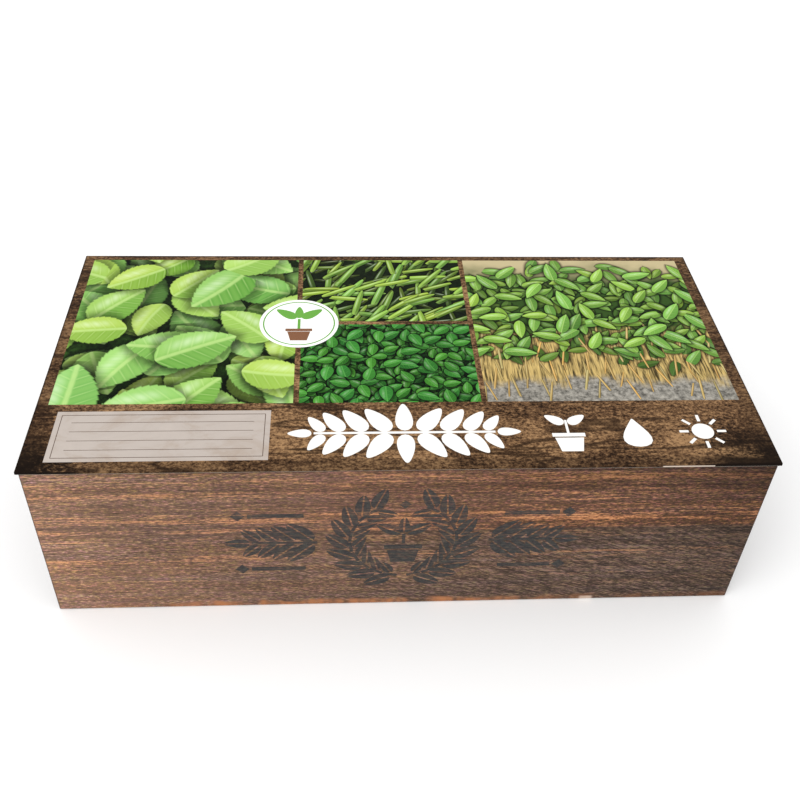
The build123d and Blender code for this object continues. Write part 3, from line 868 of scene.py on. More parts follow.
class PLANTER_OT_fill_bag(bpy.types.Operator):
    """Fill the film bag of growing medium with a cloth simulation and seal its ends"""

    bl_idname = "planter.fill_bag"
    bl_label = "Fill the bag"

    mesh_step = 3.2
    start_slope = 40.0
    start_height = 2.0
    frames = 24
    under_squash = 0.6
    under_cut = 0.72
    slack = 1.11
    seal = 10.0
    seal_steps = 10
    seal_film = 0.5
    seal_crimp = 0.3
    weld = 0.1 * MM
    film_cloth = {
        "quality": 6,
        "mass": 0.15,
        "tension_stiffness": 30.0,
        "compression_stiffness": 30.0,
        "shear_stiffness": 8.0,
        "bending_stiffness": 0.25,
        "use_pressure": True,
    }

    def film(self, tint):
        """Clear film over dark crumbs."""
        paint = Finish("bag_film")
        x, _, _ = paint.axes(paint.here)
        crumbs = paint.noise(paint.here, 420.0, 5.0, 0.72, 0.6)
        peat = paint.ramp(crumbs, (0.34, scaled(tint, 0.35)), (0.52, tint), (0.72, scaled(tint, 2.4)))
        straw = paint.noise(paint.here, 900.0, 2.0, 0.5, 1.0, stretch=(1.0, 0.3, 1.0))
        peat = paint.mix(paint.times(paint.fade(straw, 0.66, 0.74), 0.6), peat, (0.30, 0.20, 0.10))
        sealed = paint.fade(paint.size(x), 0.1005, 0.1040)
        return paint.surface(
            Base_Color=paint.mix(sealed, peat, (0.62, 0.62, 0.58)),
            Roughness=paint.fade(crumbs, 0.3, 0.7, 0.38, 0.6),
            Normal=paint.bump(crumbs, 0.21, 0.0006),
            Coat_Weight=0.85,
            Coat_Roughness=0.09,
        )

    def pouch(self, long, wide):
        """Two flat sheets joined round their edges, and the corners of the seam at both ends in order."""
        shape = bmesh.new()
        columns, rows = (round(side / MM / self.mesh_step) for side in (long, wide))
        for side in (1.0, -1.0):
            corners = bmesh.ops.create_grid(shape, x_segments=columns, y_segments=rows, size=0.5)["verts"]
            for corner in corners:
                room = min(0.5 - abs(corner.co.x), 0.5 - abs(corner.co.y))
                lift = side * min(room * self.start_slope, self.start_height)
                corner.co = (corner.co.x * long, corner.co.y * wide, lift * MM)
        bmesh.ops.remove_doubles(shape, verts=shape.verts, dist=self.weld)
        bmesh.ops.recalc_face_normals(shape, faces=shape.faces)
        shape.verts.index_update()
        seams = []
        for side in (1.0, -1.0):
            seam = [corner for corner in shape.verts if abs(corner.co.x - side * long / 2) < self.weld]
            seam.sort(key=lambda corner: corner.co.y)
            seams.append([corner.index for corner in seam])
        return shape, seams

    def blow_up(self, context, shape, pressure):
        """Runs the cloth simulation, and gives the filled mesh."""
        mesh = bpy.data.meshes.new("pouch")
        shape.to_mesh(mesh)
        shape.free()
        pouch = bpy.data.objects.new("pouch", mesh)
        context.scene.collection.objects.link(pouch)
        cloth = pouch.modifiers.new("Fill", "CLOTH")
        for name, value in self.film_cloth.items():
            setattr(cloth.settings, name, value)
        cloth.settings.uniform_pressure_force = pressure
        cloth.settings.effector_weights.gravity = 0.0
        cloth.collision_settings.use_collision = False
        for step in range(1, self.frames + 1):
            context.scene.frame_set(step)
        filled = bpy.data.meshes.new_from_object(pouch.evaluated_get(context.evaluated_depsgraph_get()))
        context.scene.frame_set(1)
        bpy.data.objects.remove(pouch)
        bpy.data.meshes.remove(mesh)
        return filled

    def lie_down(self, shape, low, high):
        """Flattens the underside, and fits the bag into its place."""
        for corner in shape.verts:
            if corner.co.z < 0.0:
                corner.co.z *= self.under_squash
        under = min(corner.co.z for corner in shape.verts) * self.under_cut
        for corner in shape.verts:
            corner.co.z = max(corner.co.z, under)
        spans = []
        for axis in range(3):
            values = [corner.co[axis] for corner in shape.verts]
            spans.append((min(values), max(values)))
        for corner in shape.verts:
            for axis, (least, most) in enumerate(spans):
                part = (corner.co[axis] - least) / (most - least)
                corner.co[axis] = low[axis] + part * (high[axis] - low[axis])

    def add_seals(self, shape, seams, low, high):
        """Draws a crimped strip out from the seam at both ends."""
        shape.verts.ensure_lookup_table()
        chains = [[shape.verts[index] for index in seam] for seam in seams]
        for chain, limit, side in zip(chains, (high.x, low.x), (1.0, -1.0)):
            level = sum(corner.co.z for corner in chain) / len(chain)
            rims = []
            for step in range(self.seal_steps + 1):
                out = step / self.seal_steps
                crimp = self.seal_crimp * MM * (-1.0 if step % 2 else 1.0)
                rim = []
                for corner in chain:
                    x = corner.co.x + out * (limit + side * self.seal * MM - corner.co.x)
                    z = corner.co.z + out * (level - corner.co.z) + crimp
                    rim.append(shape.verts.new((x, corner.co.y, z)))
                rims.append([shape.edges.new(pair) for pair in zip(rim, rim[1:])])
            faces = []
            for inner, outer in zip(rims, rims[1:]):
                faces += bmesh.ops.bridge_loops(shape, edges=inner + outer)["faces"]
            bmesh.ops.recalc_face_normals(shape, faces=faces)
            bmesh.ops.solidify(shape, geom=faces, thickness=self.seal_film * MM)

    def execute(self, context):
        kit = context.scene.planter_kit
        low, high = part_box("growing_medium_bag")
        low, high = low.copy(), high.copy()
        low.x += self.seal * MM
        high.x -= self.seal * MM
        size = high - low
        shape, seams = self.pouch(size.x * self.slack, size.y * self.slack)
        filled = self.blow_up(context, shape, kit.bag_pressure)
        shape = bmesh.new()
        shape.from_mesh(filled)
        bpy.data.meshes.remove(filled)
        self.lie_down(shape, low, high)
        self.add_seals(shape, seams, low, high)
        bag = make_piece("film_bag", shape, self.film(kit.peat), "medium")
        bag.data.shade_smooth()
        rounder = bag.modifiers.new("Smooth", "SUBSURF")
        rounder.levels = rounder.render_levels = 1
        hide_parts("growing_medium_bag")
        return {"FINISHED"}


MINT = {"light": (0.40, 0.63, 0.17), "dark": (0.056, 0.24, 0.014), "vein": (0.56, 0.75, 0.28)}
NEEDLE = {"light": (0.33, 0.54, 0.085), "dark": (0.010, 0.050, 0.005), "vein": (0.52, 0.72, 0.20)}
THYME = {"light": (0.044, 0.205, 0.030), "dark": (0.003, 0.032, 0.004), "vein": (0.09, 0.28, 0.06)}
SAGE = {"light": (0.25, 0.46, 0.075), "dark": (0.022, 0.090, 0.010), "vein": (0.40, 0.56, 0.18)}
STRAW = {"light": (0.70, 0.47, 0.17), "dark": (0.20, 0.11, 0.03), "vein": (0.80, 0.62, 0.30)}


def picture(name, ground, leaves, bands=()):
    """A printed picture: layers of leaves over a ground, which may change in bands from front to back."""
    paint = Finish(name)
    _, y, _ = paint.axes(paint.here)
    cloud = paint.noise(paint.here, 45.0, 3.0, 0.6)
    crumbs = paint.noise(paint.here, 420.0, 4.0, 0.7)
    shade = paint.ramp(crumbs, (0.34, scaled(ground, 0.35)), (0.68, scaled(ground, 1.7)))
    if bands:
        stems = paint.noise(paint.here, 850.0, 3.0, 0.6, 0.5, stretch=(1.0, 0.09, 1.0))
        wave = paint.plus(y, (paint.less(cloud), 0.03))
    for low, high, tint, stemmed in bands:
        grown = tint
        if stemmed:
            grown = paint.ramp(stems, (0.36, scaled(tint, 0.12)), (0.54, tint), (0.72, scaled(tint, 1.5)))
        shade = paint.mix(paint.fade(wave, low, high), shade, grown)
    for index, layer in enumerate(leaves):
        shade = layer.lay(paint, shade, f"{name} {index}")
    rough = paint.fade(cloud, 0.3, 0.7, 0.42, 0.5)
    return paint.surface(Base_Color=shade, Roughness=rough, Specular_IOR_Level=0.04)


def soften(shape, edges, offset):
    """Rounds these edges."""
    bmesh.ops.bevel(shape, geom=edges, offset=offset, segments=3, profile=0.5, affect="EDGES", material=-1)


class PLANTER_OT_print_lid(bpy.types.Operator):
    """Print the lid: leafy pictures, a plaque, a badge and a sprig on a brown ground"""

    bl_idname = "planter.print_lid"
    bl_label = "Print the lid"

    pictures = {
        "left": ((-165.5, -41.0), (-52.0, 80.7)),
        "upper": ((-49.3, 23.2), (38.0, 80.7)),
        "lower": ((-49.3, -41.0), (38.0, 20.5)),
        "right": ((40.7, -41.0), (164.5, 80.7)),
    }
    plaque = ((-160.0, -79.0), (-62.0, -46.0))
    plaque_inset = 2.5
    plaque_frame = 0.35
    plaque_line = 0.3
    plaque_pitch = 6.0
    badge = (-50.6, 21.8)
    sprig_level = -62.0
    icon_x = (76, 108, 140)
    corner_round = 0.3 * MM
    # Heights of the printed layers above the board, in films.
    upper_films = 2.0
    top_films = 2.6
    all_films = 4.0

    def ground(self, ink):
        """Board printed as weathered brown wood, nearly black at its edges, and grey card below."""
        paint = Finish("lid_ground")
        here = paint.here
        x, y, z = paint.axes(here)
        grain = paint.use(wood_grain, Vector=here, Band=70.0, Sway=0.03)
        mottle = paint.noise(here, 40.0, 9.0, 0.76, 0.7, stretch=(0.45, 1.0, 1.0))
        speck = paint.noise(here, 700.0, 3.0, 0.8, stretch=(0.7, 1.0, 1.0))
        tone = paint.plus(paint.times(grain["Streaks"], 0.2), (mottle, 0.85), (paint.less(speck), 1.00))
        brown = paint.ramp(tone, (0.36, ink.ground_dark), (0.51, ink.ground), (0.70, ink.ground_light))
        rift = paint.noise(here, 48.0, 3.0, 0.55, 0.5, stretch=(0.14, 1.0, 1.0))
        crack = paint.fade(paint.size(paint.less(rift)), 0.030, 0.004, 0.0, 0.75)
        brown = paint.mix(crack, brown, ink.ground_dark)

        # A dim margin, and nearly black corners, rims and front edge.
        aside = paint.size(x)
        margin = paint.most(paint.fade(aside, 0.1600, 0.1640), paint.fade(y, 0.0780, 0.0806))
        brown = paint.mix(paint.times(margin, 0.36), brown, ink.ground_dark)
        pitch = scaled(ink.ground_dark, 0.3)
        worn = paint.plus(aside, (paint.less(tone), -0.060))
        corner = paint.times(paint.fade(worn, 0.124, 0.162, 0.0, 0.95), paint.fade(y, -0.050, -0.080))
        rim = paint.most(paint.fade(aside, 0.1698, 0.1706), paint.fade(y, 0.0838, 0.0846))
        front = paint.fade(paint.plus(y, (mottle, 0.006)), -0.0735, -0.0780)
        front = paint.times(front, paint.fade(x, 0.124, 0.152, 0.38, 0.96))
        brown = paint.mix(paint.most(corner, paint.times(rim, 0.65), front), brown, pitch)

        # The board's sides, with a split that bares the card, and its underside.
        ends = paint.most(paint.fade(x, -0.138, -0.150), paint.fade(x, 0.124, 0.145))
        side = paint.times(paint.fade(z, 0.09842, 0.09836), paint.fade(ends, 0.0, 1.0, 0.12, 0.92))
        brown = paint.mix(side, brown, pitch)
        split = paint.inside(x, z, (0.1156, 0.0972), (0.1396, 0.0978), 0.0002)
        split = paint.times(split, paint.fade(y, -0.0849, -0.08495))
        brown = paint.mix(split, brown, (0.62, 0.52, 0.44))
        fibre = paint.use(paper_fibre, Vector=here)
        card = paint.mix(fibre["Cloud"], (0.40, 0.37, 0.32), (0.50, 0.47, 0.41))
        return paint.surface(
            Base_Color=paint.mix(paint.fade(z, 0.09712, 0.09704), brown, card),
            Roughness=paint.fade(mottle, 0.3, 0.7, 0.40, 0.52),
            Specular_IOR_Level=0.04,
            Normal=paint.bump(fibre["Felt"], 0.06, 0.0001),
        )

    def flat_ink(self, name, tint):
        """One flat printed ink, a little uneven."""
        paint = Finish(name)
        cloud = paint.use(paper_fibre, Vector=paint.here)["Cloud"]
        return paint.surface(
            Base_Color=paint.mix(paint.fade(cloud, 0.3, 0.7), scaled(tint, 0.93), tint),
            Roughness=paint.fade(cloud, 0.3, 0.7, 0.42, 0.5),
            Specular_IOR_Level=0.14,
        )

    def plaque_tint(self, tint):
        """Pale wash through which the printed wood still shows a little."""
        paint = Finish("plaque_tint")
        ghost = paint.noise(paint.here, 60.0, 6.0, 0.7, 0.6, stretch=(0.5, 1.0, 1.0))
        warm = [part * dim for part, dim in zip(tint, (0.86, 0.80, 0.74))]
        wash = paint.ramp(ghost, (0.34, warm), (0.50, tint), (0.68, scaled(tint, 1.07)))
        rough = paint.fade(ghost, 0.3, 0.7, 0.44, 0.52)
        return paint.surface(Base_Color=wash, Roughness=rough, Specular_IOR_Level=0.12)

    def board(self, low, high, ink, thickness):
        """The lid's board with rounded corners and a soft top edge."""
        shape = bmesh.new()
        bmesh.ops.create_cube(shape, size=1.0)
        size = high - low
        for corner in shape.verts:
            corner.co.x *= size.x
            corner.co.y *= size.y
            corner.co.z = low.z + (corner.co.z + 0.5) * thickness
        middle = low.z + thickness / 2
        upright = [edge for edge in shape.edges if sum(corner.co.z > middle for corner in edge.verts) == 1]
        soften(shape, upright, self.corner_round)
        top = [edge for edge in shape.edges if all(corner.co.z > middle for corner in edge.verts)]
        soften(shape, top, ink.edge)
        return shape

    def leafy_pictures(self):
        """Materials of the four pictures, whose leaves brighten from the lowest layer up."""
        broad = {"slim": 0.68, "teeth": 0.06, "notches": 12.0, "scatter": 0.36, "fill": 1.0, "gloom": 0.64}
        mint = layers(
            MINT, broad, "shine",
            (0.034, 0.42, 0.0), (0.038, 0.56, 0.1), (0.040, 0.72, 0.15), (0.038, 0.88, 0.2),
            (0.042, 1.0, 0.25), (0.044, 1.0, 0.3), (0.047, 1.0, 0.3),
        )
        slender = {
            "slim": 0.15, "base": 0.25, "tip": 0.4, "veins": 1.0, "spread": 1.5, "fill": 1.3, "weight": 0.35,
        }
        needles = layers(
            NEEDLE, slender, "turn",
            (0.016, 0.12, 0.2), (0.017, 0.18, 0.9), (0.018, 0.28, 1.1), (0.019, 0.42, 0.5),
            (0.018, 0.68, 0.8), (0.020, 1.0, 0.4), (0.021, 1.0, 0.7), (0.022, 1.0, 0.55), (0.020, 1.0, 1.0),
        )
        small = {"slim": 0.60, "tip": 0.9, "veins": 4.0, "scatter": 0.6, "fill": 1.08, "gloom": 0.9}
        thyme = layers(
            THYME, small, "shine",
            (0.0075, 0.3, 0.0), (0.0085, 0.5, 0.0), (0.0080, 0.75, 0.1), (0.0090, 1.0, 0.15),
            (0.0095, 1.0, 0.2), (0.0100, 1.3, 0.14), (0.0110, 1.5, 0.15),
        )
        lance = {"slim": 0.42, "veins": 6.0, "scatter": 0.45, "fill": 1.05, "gloom": 0.85}
        crown = {**lance, "bed": (-0.014, 0.006, 0.066, 0.080)}
        fringe = {**lance, "bed": (-0.020, -0.002, 0.052, 0.070)}
        stalk = {
            "slim": 0.06, "base": 0.2, "tip": 0.3, "veins": 1.0, "spread": 0.7, "turn": 1.57, "fill": 1.5,
            "bed": (-0.040, -0.030, 0.004, 0.020),
        }
        sage = [
            *layers(STRAW, stalk, "shine", (0.012, 0.8, 0.2)),
            *layers(SAGE, fringe, "shine", (0.013, 0.35, 0.0), (0.014, 0.6, 0.1)),
            *layers(STRAW, stalk, "shine", (0.014, 1.0, 0.2)),
            *layers(
                SAGE, crown, "shine",
                (0.014, 0.85, 0.15), (0.015, 1.0, 0.25), (0.016, 1.0, 0.3), (0.017, 1.25, 0.3),
            ),
        ]
        field = [
            (-0.032, -0.022, (0.46, 0.33, 0.12), True),
            (0.004, 0.022, (0.03, 0.07, 0.012), False),
            (0.055, 0.080, (0.50, 0.42, 0.24), False),
        ]
        return {
            "left": picture("picture_mint", (0.020, 0.055, 0.008), mint),
            "upper": picture("picture_needles", (0.004, 0.009, 0.002), needles),
            "lower": picture("picture_thyme", (0.004, 0.020, 0.004), thyme),
            "right": picture("picture_sage", (0.24, 0.225, 0.195), sage, field),
        }

    def panel(self, corners, depth, plane):
        (left, front), (right, back) = corners
        sheet = Cutouts(depth, plane)
        sheet.bar(right - left, back - front, at((left + right) / 2, (front + back) / 2))
        return sheet.shape

    def rules(self, depth, plane):
        """A hairline frame and four writing lines on the plaque."""
        sheet = Cutouts(depth, plane)
        (left, front), (right, back) = self.plaque
        inset = self.plaque_inset
        middle, centre = (left + right) / 2, (front + back) / 2
        wide, high = right - left - 2 * inset, back - front - 2 * inset
        for y in (front + inset, back - inset):
            sheet.bar(wide, self.plaque_frame, at(middle, y))
        for x in (left + inset, right - inset):
            sheet.bar(self.plaque_frame, high, at(x, centre))
        for step in range(4):
            sheet.bar(wide - 10.0, self.plaque_line, at(middle, front + 7.4 + self.plaque_pitch * step))
        return sheet.shape

    def sprig(self, sheet):
        """A bold sprig with paired leaves, spread to both sides of a bud."""
        level = self.sprig_level
        sheet.bar(84, 1.4, at(0, level))
        for side in (1, -1):
            for x, long in ((7, 18.5), (18, 17.5), (28.5, 15.5), (37.5, 12)):
                for fork in (1, -1):
                    sheet.leaf(long, long * 0.5, at(side * x, level + fork * 1.3, fork * (90 - side * 36)))
            sheet.leaf(11, 5.5, at(side * 43, level, 90 - side * 90))
        for fork in (1, -1):
            sheet.leaf(18.5, 8.5, at(0, level + fork * 1.3, fork * 90))

    def icons(self, sheet):
        """A potted sprout, a drop and a sun."""
        pot, drop, sun = self.icon_x
        sheet.bar(10, 9, at(pot, -71), top=1.35)
        sheet.bar(15.5, 2.4, at(pot, -64.6))
        sheet.bar(1.2, 9, at(pot, -59))
        for side, turn in ((1, 35), (-1, 145)):
            sheet.leaf(10, 5.6, at(pot + side * 1.2, -57, turn))
        sheet.leaf(19, 14, at(drop, -73, 90), point=0.85)
        sheet.disc(5.2, at(sun, -63), segments=48)
        for turn in range(0, 360, 45):
            sheet.bar(4.4, 1.5, at(sun, -63, turn) @ at(9.0, 0))

    def badge_print(self, film, plane):
        """White disc with a green sprout in a clay pot."""
        middle = plane @ at(*self.badge)
        disc = Cutouts(self.upper_films * film, middle)
        disc.disc(20.5, at(0, 0), segments=96)
        yield "lid_badge", disc.shape, self.flat_ink("badge_white", (0.93, 0.93, 0.91))
        sprout = Cutouts(self.top_films * film, middle)
        sprout.ring(18.0, 18.7, at(0, 0), segments=96)
        sprout.bar(1.5, 9, at(0, -1))
        for x, turn, long in ((1.4, 36, 13), (-1.4, 144, 13), (0, 90, 10)):
            sprout.leaf(long, long * 0.48, at(x, 4.2, turn))
        yield "lid_badge_sprout", sprout.shape, self.flat_ink("badge_green", (0.13, 0.36, 0.05))
        pot = Cutouts(self.top_films * film, middle)
        pot.bar(8.5, 7.5, at(0, -11), top=1.4)
        pot.bar(13.8, 2.2, at(0, -5.9))
        yield "lid_badge_pot", pot.shape, self.flat_ink("badge_clay", (0.20, 0.085, 0.04))

    def prints(self, ink, plane):
        """Name, shape and material of each printed layer, from the lowest up."""
        for name, material in self.leafy_pictures().items():
            yield f"lid_picture_{name}", self.panel(self.pictures[name], ink.film, plane), material
        yield "lid_plaque", self.panel(self.plaque, ink.film, plane), self.plaque_tint(ink.plaque)
        rules = self.rules(self.upper_films * ink.film, plane)
        yield "lid_plaque_rules", rules, self.flat_ink("plaque_brown", ink.rule)
        ornament = Cutouts(ink.film, plane)
        self.sprig(ornament)
        self.icons(ornament)
        yield "lid_ornament", ornament.shape, self.flat_ink("ornament_white", ink.white)
        yield from self.badge_print(ink.film, plane)

    def execute(self, context):
        ink = context.scene.planter_print
        low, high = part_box("lid_card")
        thickness = high.z - low.z - self.all_films * ink.film
        shape = self.board(low, high, ink, thickness)
        board = make_piece("lid_board", shape, self.ground(ink), "lid")
        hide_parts("lid_card")
        for name, shape, material in self.prints(ink, Matrix.Translation((0.0, 0.0, low.z + thickness))):
            make_piece(name, shape, material, "lid")
        return {"FINISHED"}


def card_stock(name, tint, felt):
    """Paper or card with a faint cloud and felt: its painter, and its colour for the caller to print on."""
    paint = Finish(name)
    fibre = paint.use(paper_fibre, Vector=paint.here)
    rough = paint.fade(fibre["Felt"], 0.3, 0.7, 0.75, 0.9)
    paint.surface(Roughness=rough, Specular_IOR_Level=0.25, Normal=paint.bump(fibre["Felt"], felt, 0.0002))
    return paint, paint.mix(paint.fade(fibre["Cloud"], 0.3, 0.7), scaled(tint, 0.88), tint)


class PLANTER_OT_fold_card(bpy.types.Operator):
    """Give the lid's tuck frame its grey card, and the leaflet its paper"""

    bl_idname = "planter.fold_card"
    bl_label = "Tuck frame and leaflet"

    rule_outside = 4.0
    rule_inside = 5.0

    def execute(self, context):
        kit = context.scene.planter_kit
        paint, shade = card_stock("tuck_card", kit.card, 0.3)
        dress(paint.surface(Base_Color=shade), "lid_tuck_frame")

        low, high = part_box("instruction_leaflet")
        paint, shade = card_stock("leaflet_paper", kit.paper, 0.12)
        x, y, _ = paint.axes(paint.here)
        outer, inner = (
            paint.inside(x, y, (low.x + inset, low.y + inset), (high.x - inset, high.y - inset), PRINT_EDGE)
            for inset in (self.rule_outside * MM, self.rule_inside * MM)
        )
        line = paint.math("SUBTRACT", outer, inner, clamp=True)
        dress(paint.surface(Base_Color=paint.mix(line, shade, (0.10, 0.26, 0.05))), "instruction_leaflet")
        return {"FINISHED"}


class PLANTER_OT_print_packets(bpy.types.Operator):
    """Fold and print the four seed packets"""

    bl_idname = "planter.print_packets"
    bl_label = "Seed packets"

    broad = {"slim": 0.62}
    fine = {"slim": 0.11, "base": 0.25, "tip": 0.4, "veins": 1.0, "spread": 1.2, "fill": 1.3}
    curly = {"slim": 0.75, "base": 0.5, "tip": 0.6, "veins": 3.0}
    herbs = {
        "basil": (MINT, broad, (0.018, 0.021, 0.024)),
        "chives": (NEEDLE, fine, (0.010, 0.012, 0.013)),
        "parsley": (THYME, curly, (0.007, 0.008, 0.009)),
        "cress": (SAGE, curly, (0.008, 0.009, 0.010)),
    }
    brightness = (0.5, 1.0, 1.0)
    columns = 28
    rows = 36
    seal = 0.86
    seal_lift = 0.28
    crimp_lift = 0.06
    crimp_rate = 120.0
    inset = 4.0
    head = 12.0
    foot = 24.0
    band = (9.0, 21.0)

    def pouch(self, low, high):
        """A paper pouch that bulges between its crimped seals."""
        shape = bmesh.new()
        size = high - low
        steps = {"x_segments": self.columns, "y_segments": self.rows}
        corners = bmesh.ops.create_grid(shape, **steps, size=0.5)["verts"]
        for corner in corners:
            x, y = corner.co.x * 2.0, corner.co.y * 2.0
            belly = max(0.0, 1.0 - x**4) * max(0.0, 1.0 - (y / self.seal) ** 4)
            crimp = self.crimp_lift * math.sin(y * self.crimp_rate) if abs(y) > self.seal else 0.0
            lift = self.seal_lift + (1.0 - self.seal_lift) * belly**0.6 + crimp
            corner.co = (
                low.x + (corner.co.x + 0.5) * size.x,
                low.y + (corner.co.y + 0.5) * size.y,
                low.z + min(1.0, lift) * size.z,
            )
        bottom = bmesh.ops.extrude_face_region(shape, geom=list(shape.faces))["geom"]
        for item in bottom:
            if isinstance(item, bmesh.types.BMVert):
                item.co.z = low.z
        return shape

    def paper(self, name, tint, low, high, leaves):
        """White paper with a leafy picture and a coloured foot."""
        paint, shade = card_stock(name, tint, 0.1)
        x, y, _ = paint.axes(paint.here)
        seeds = ["low", *range(len(leaves) - 1)]
        shot = scaled(leaves[0].dark, 0.25)
        for layer, seed in zip(leaves, seeds):
            shot = layer.lay(paint, shot, f"{name} {seed}")
        inset = self.inset * MM
        corners = (low.x + inset, low.y + self.foot * MM), (high.x - inset, high.y - self.head * MM)
        shade = paint.mix(paint.inside(x, y, *corners, PRINT_EDGE), shade, shot)
        corners = (low.x, low.y + self.band[0] * MM), (high.x, low.y + self.band[1] * MM)
        shade = paint.mix(paint.inside(x, y, *corners, PRINT_EDGE), shade, leaves[-1].dark)
        return paint.surface(Base_Color=shade)

    def execute(self, context):
        kit = context.scene.planter_kit
        for herb, (tints, look, cells) in self.herbs.items():
            rows = zip(cells, self.brightness)
            leaves = [Leaves(cell, **dimmer(tints, bright), **look) for cell, bright in rows]
            node = f"{herb}_seed_packet"
            low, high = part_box(node)
            material = self.paper(f"packet_paper_{herb}", kit.paper, low, high, leaves)
            packet = make_piece(f"{herb}_pouch", self.pouch(low, high), material, "kit")
            packet.data.shade_smooth()
            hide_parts(node)
        return {"FINISHED"}


class PLANTER_OT_mark_labels(bpy.types.Operator):
    """Give the plant labels their plastic, and print a leafy head on each"""

    bl_idname = "planter.mark_labels"
    bl_label = "Plant labels"

    head = 11.0
    margin = 1.8
    film = 0.02
    small = {"slim": 0.6, "veins": 4.0, "scatter": 0.6, "fill": 1.0}

    def execute(self, context):
        kit = context.scene.planter_kit
        names = [f"plant_label_{index}" for index in (1, 2, 3, 4)]
        dress(moulded_plastic("label_plastic", kit.label, 0.38), *names)
        sheet = Cutouts(self.film * MM, Matrix.Identity(4))
        for name in names:
            low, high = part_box(name)
            middle = low.x + (self.margin + self.head / 2) * MM
            place = Matrix.Translation((middle, (low.y + high.y) / 2, high.z))
            sheet.bar(self.head, (high.y - low.y) / MM - 2 * self.margin, place)
        leaves = [
            *layers(SAGE, self.small, "shine", (0.0040, 0.5, 0.3), (0.0045, 1.0, 0.3)),
            *layers(MINT, self.small, "shine", (0.0050, 1.0, 0.3)),
        ]
        material = picture("label_print", (0.020, 0.050, 0.008), leaves)
        make_piece("label_heads", sheet.shape, material, "kit")
        return {"FINISHED"}


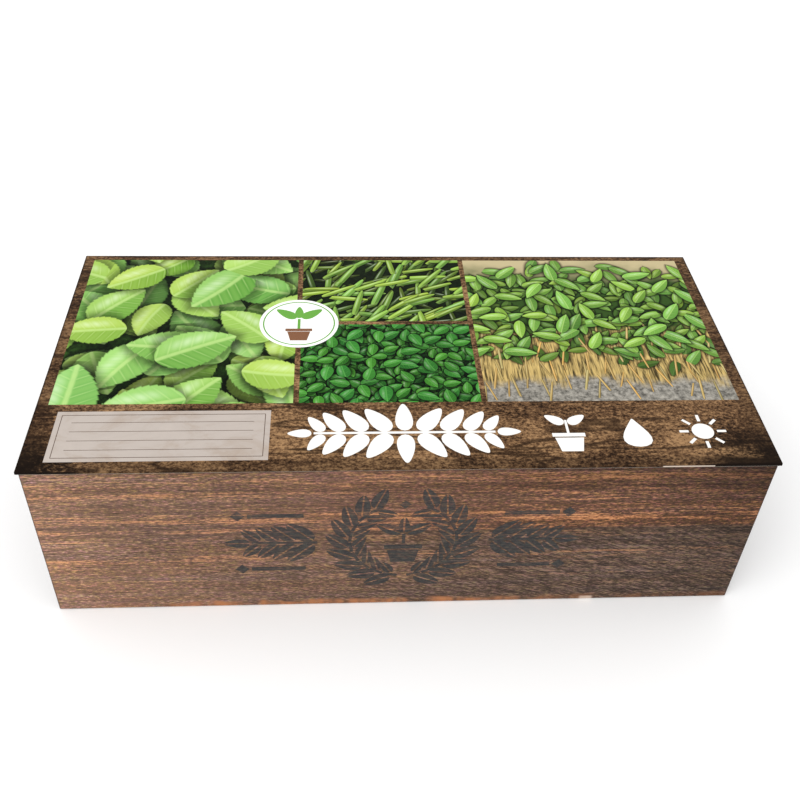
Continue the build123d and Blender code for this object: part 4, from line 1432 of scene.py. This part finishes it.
class PLANTER_OT_set_stage(bpy.types.Operator):
    """Set the floor, the light and the camera"""

    bl_idname = "planter.set_stage"
    bl_label = "Set the stage"

    floor_half = 3.0
    floor_gap = 0.2
    lamp_place = Vector((-0.55, -0.75, 1.15))
    lamp_aim = Vector((0.0, 0.0, 0.05))
    lamp_size = 1.1

    def floor(self, scene, tint):
        shape = bmesh.new()
        bmesh.ops.create_grid(shape, x_segments=1, y_segments=1, size=self.floor_half)
        mesh = bpy.data.meshes.new("floor")
        shape.to_mesh(mesh)
        shape.free()
        paint = Finish("floor")
        shade = paint.mix(paint.noise(paint.here, 3.0, 2.0), scaled(tint, 0.985), tint)
        mesh.materials.append(paint.surface(Base_Color=shade, Roughness=0.8, Specular_IOR_Level=0.2))
        floor = bpy.data.objects.new("floor", mesh)
        floor.location.z = -self.floor_gap * MM
        scene.collection.objects.link(floor)

    def light(self, scene, stage):
        lamp = bpy.data.lights.new("soft_box", "AREA")
        lamp.shape = "DISK"
        lamp.size = self.lamp_size
        lamp.energy = stage.key
        holder = bpy.data.objects.new("soft_box", lamp)
        holder.location = self.lamp_place
        holder.rotation_euler = (self.lamp_aim - self.lamp_place).to_track_quat("-Z", "Y").to_euler()
        scene.collection.objects.link(holder)
        scene.world = bpy.data.worlds.new("sky")
        scene.world.use_nodes = True
        sky = scene.world.node_tree.nodes["Background"].inputs
        sky["Color"].default_value = (1.0, 1.0, 1.0, 1.0)
        sky["Strength"].default_value = stage.sky
        scene.view_settings.view_transform = "Standard"

    def camera(self, scene, stage):
        level = Vector((math.cos(stage.yaw), -math.sin(stage.yaw), 0.0))
        flat = math.cos(stage.pitch)
        ahead = Vector((math.sin(stage.yaw) * flat, math.cos(stage.yaw) * flat, -math.sin(stage.pitch)))
        above = level.cross(ahead)
        right = math.cos(stage.roll) * level + math.sin(stage.roll) * above
        up = -math.sin(stage.roll) * level + math.cos(stage.roll) * above
        turn = Matrix((right, up, -ahead)).transposed().to_4x4()
        lens = bpy.data.cameras.new("camera")
        lens.sensor_width = 36.0
        lens.sensor_fit = "HORIZONTAL"
        lens.lens = stage.lens
        lens.clip_start = 0.01
        camera = bpy.data.objects.new("camera", lens)
        camera.matrix_world = Matrix.Translation(stage.camera) @ turn
        scene.collection.objects.link(camera)
        scene.camera = camera

    def execute(self, context):
        stage = context.scene.planter_stage
        self.floor(context.scene, stage.floor)
        self.light(context.scene, stage)
        self.camera(context.scene, stage)
        return {"FINISHED"}


OPERATORS = (
    PLANTER_OT_stain_boards,
    PLANTER_OT_stencil_front,
    PLANTER_OT_plane_base,
    PLANTER_OT_mould_greenhouse,
    PLANTER_OT_fill_bag,
    PLANTER_OT_print_lid,
    PLANTER_OT_fold_card,
    PLANTER_OT_print_packets,
    PLANTER_OT_mark_labels,
    PLANTER_OT_set_stage,
)
GROUPS = {
    "planter_wood": PlanterWood,
    "planter_print": PlanterPrint,
    "planter_kit": PlanterKit,
    "planter_stage": PlanterStage,
}


class PLANTER_PT_sidebar(bpy.types.Panel):
    """Lists the planter's sizes, colours and pieces"""

    bl_idname = "PLANTER_PT_sidebar"
    bl_label = "Planter"
    bl_space_type = "VIEW_3D"
    bl_region_type = "UI"
    bl_category = "Planter"

    def draw(self, context):
        for name, group in GROUPS.items():
            box = self.layout.box()
            for entry in group.__annotations__:
                box.prop(getattr(context.scene, name), entry)
        for operator in OPERATORS:
            self.layout.operator(operator.bl_idname)


def register():
    for group in GROUPS.values():
        bpy.utils.register_class(group)
    for name, group in GROUPS.items():
        setattr(bpy.types.Scene, name, bpy.props.PointerProperty(type=group))
    for operator in OPERATORS:
        bpy.utils.register_class(operator)
    bpy.utils.register_class(PLANTER_PT_sidebar)


def unregister():
    bpy.utils.unregister_class(PLANTER_PT_sidebar)
    for operator in reversed(OPERATORS):
        bpy.utils.unregister_class(operator)
    for name, group in GROUPS.items():
        delattr(bpy.types.Scene, name)
        bpy.utils.unregister_class(group)


def main():
    register()
    bpy.ops.planter.stain_boards()
    bpy.ops.planter.stencil_front()
    bpy.ops.planter.plane_base()
    bpy.ops.planter.mould_greenhouse()
    bpy.ops.planter.fill_bag()
    bpy.ops.planter.print_lid()
    bpy.ops.planter.fold_card()
    bpy.ops.planter.print_packets()
    bpy.ops.planter.mark_labels()
    bpy.ops.planter.set_stage()


if __name__ == "__main__":
    main()
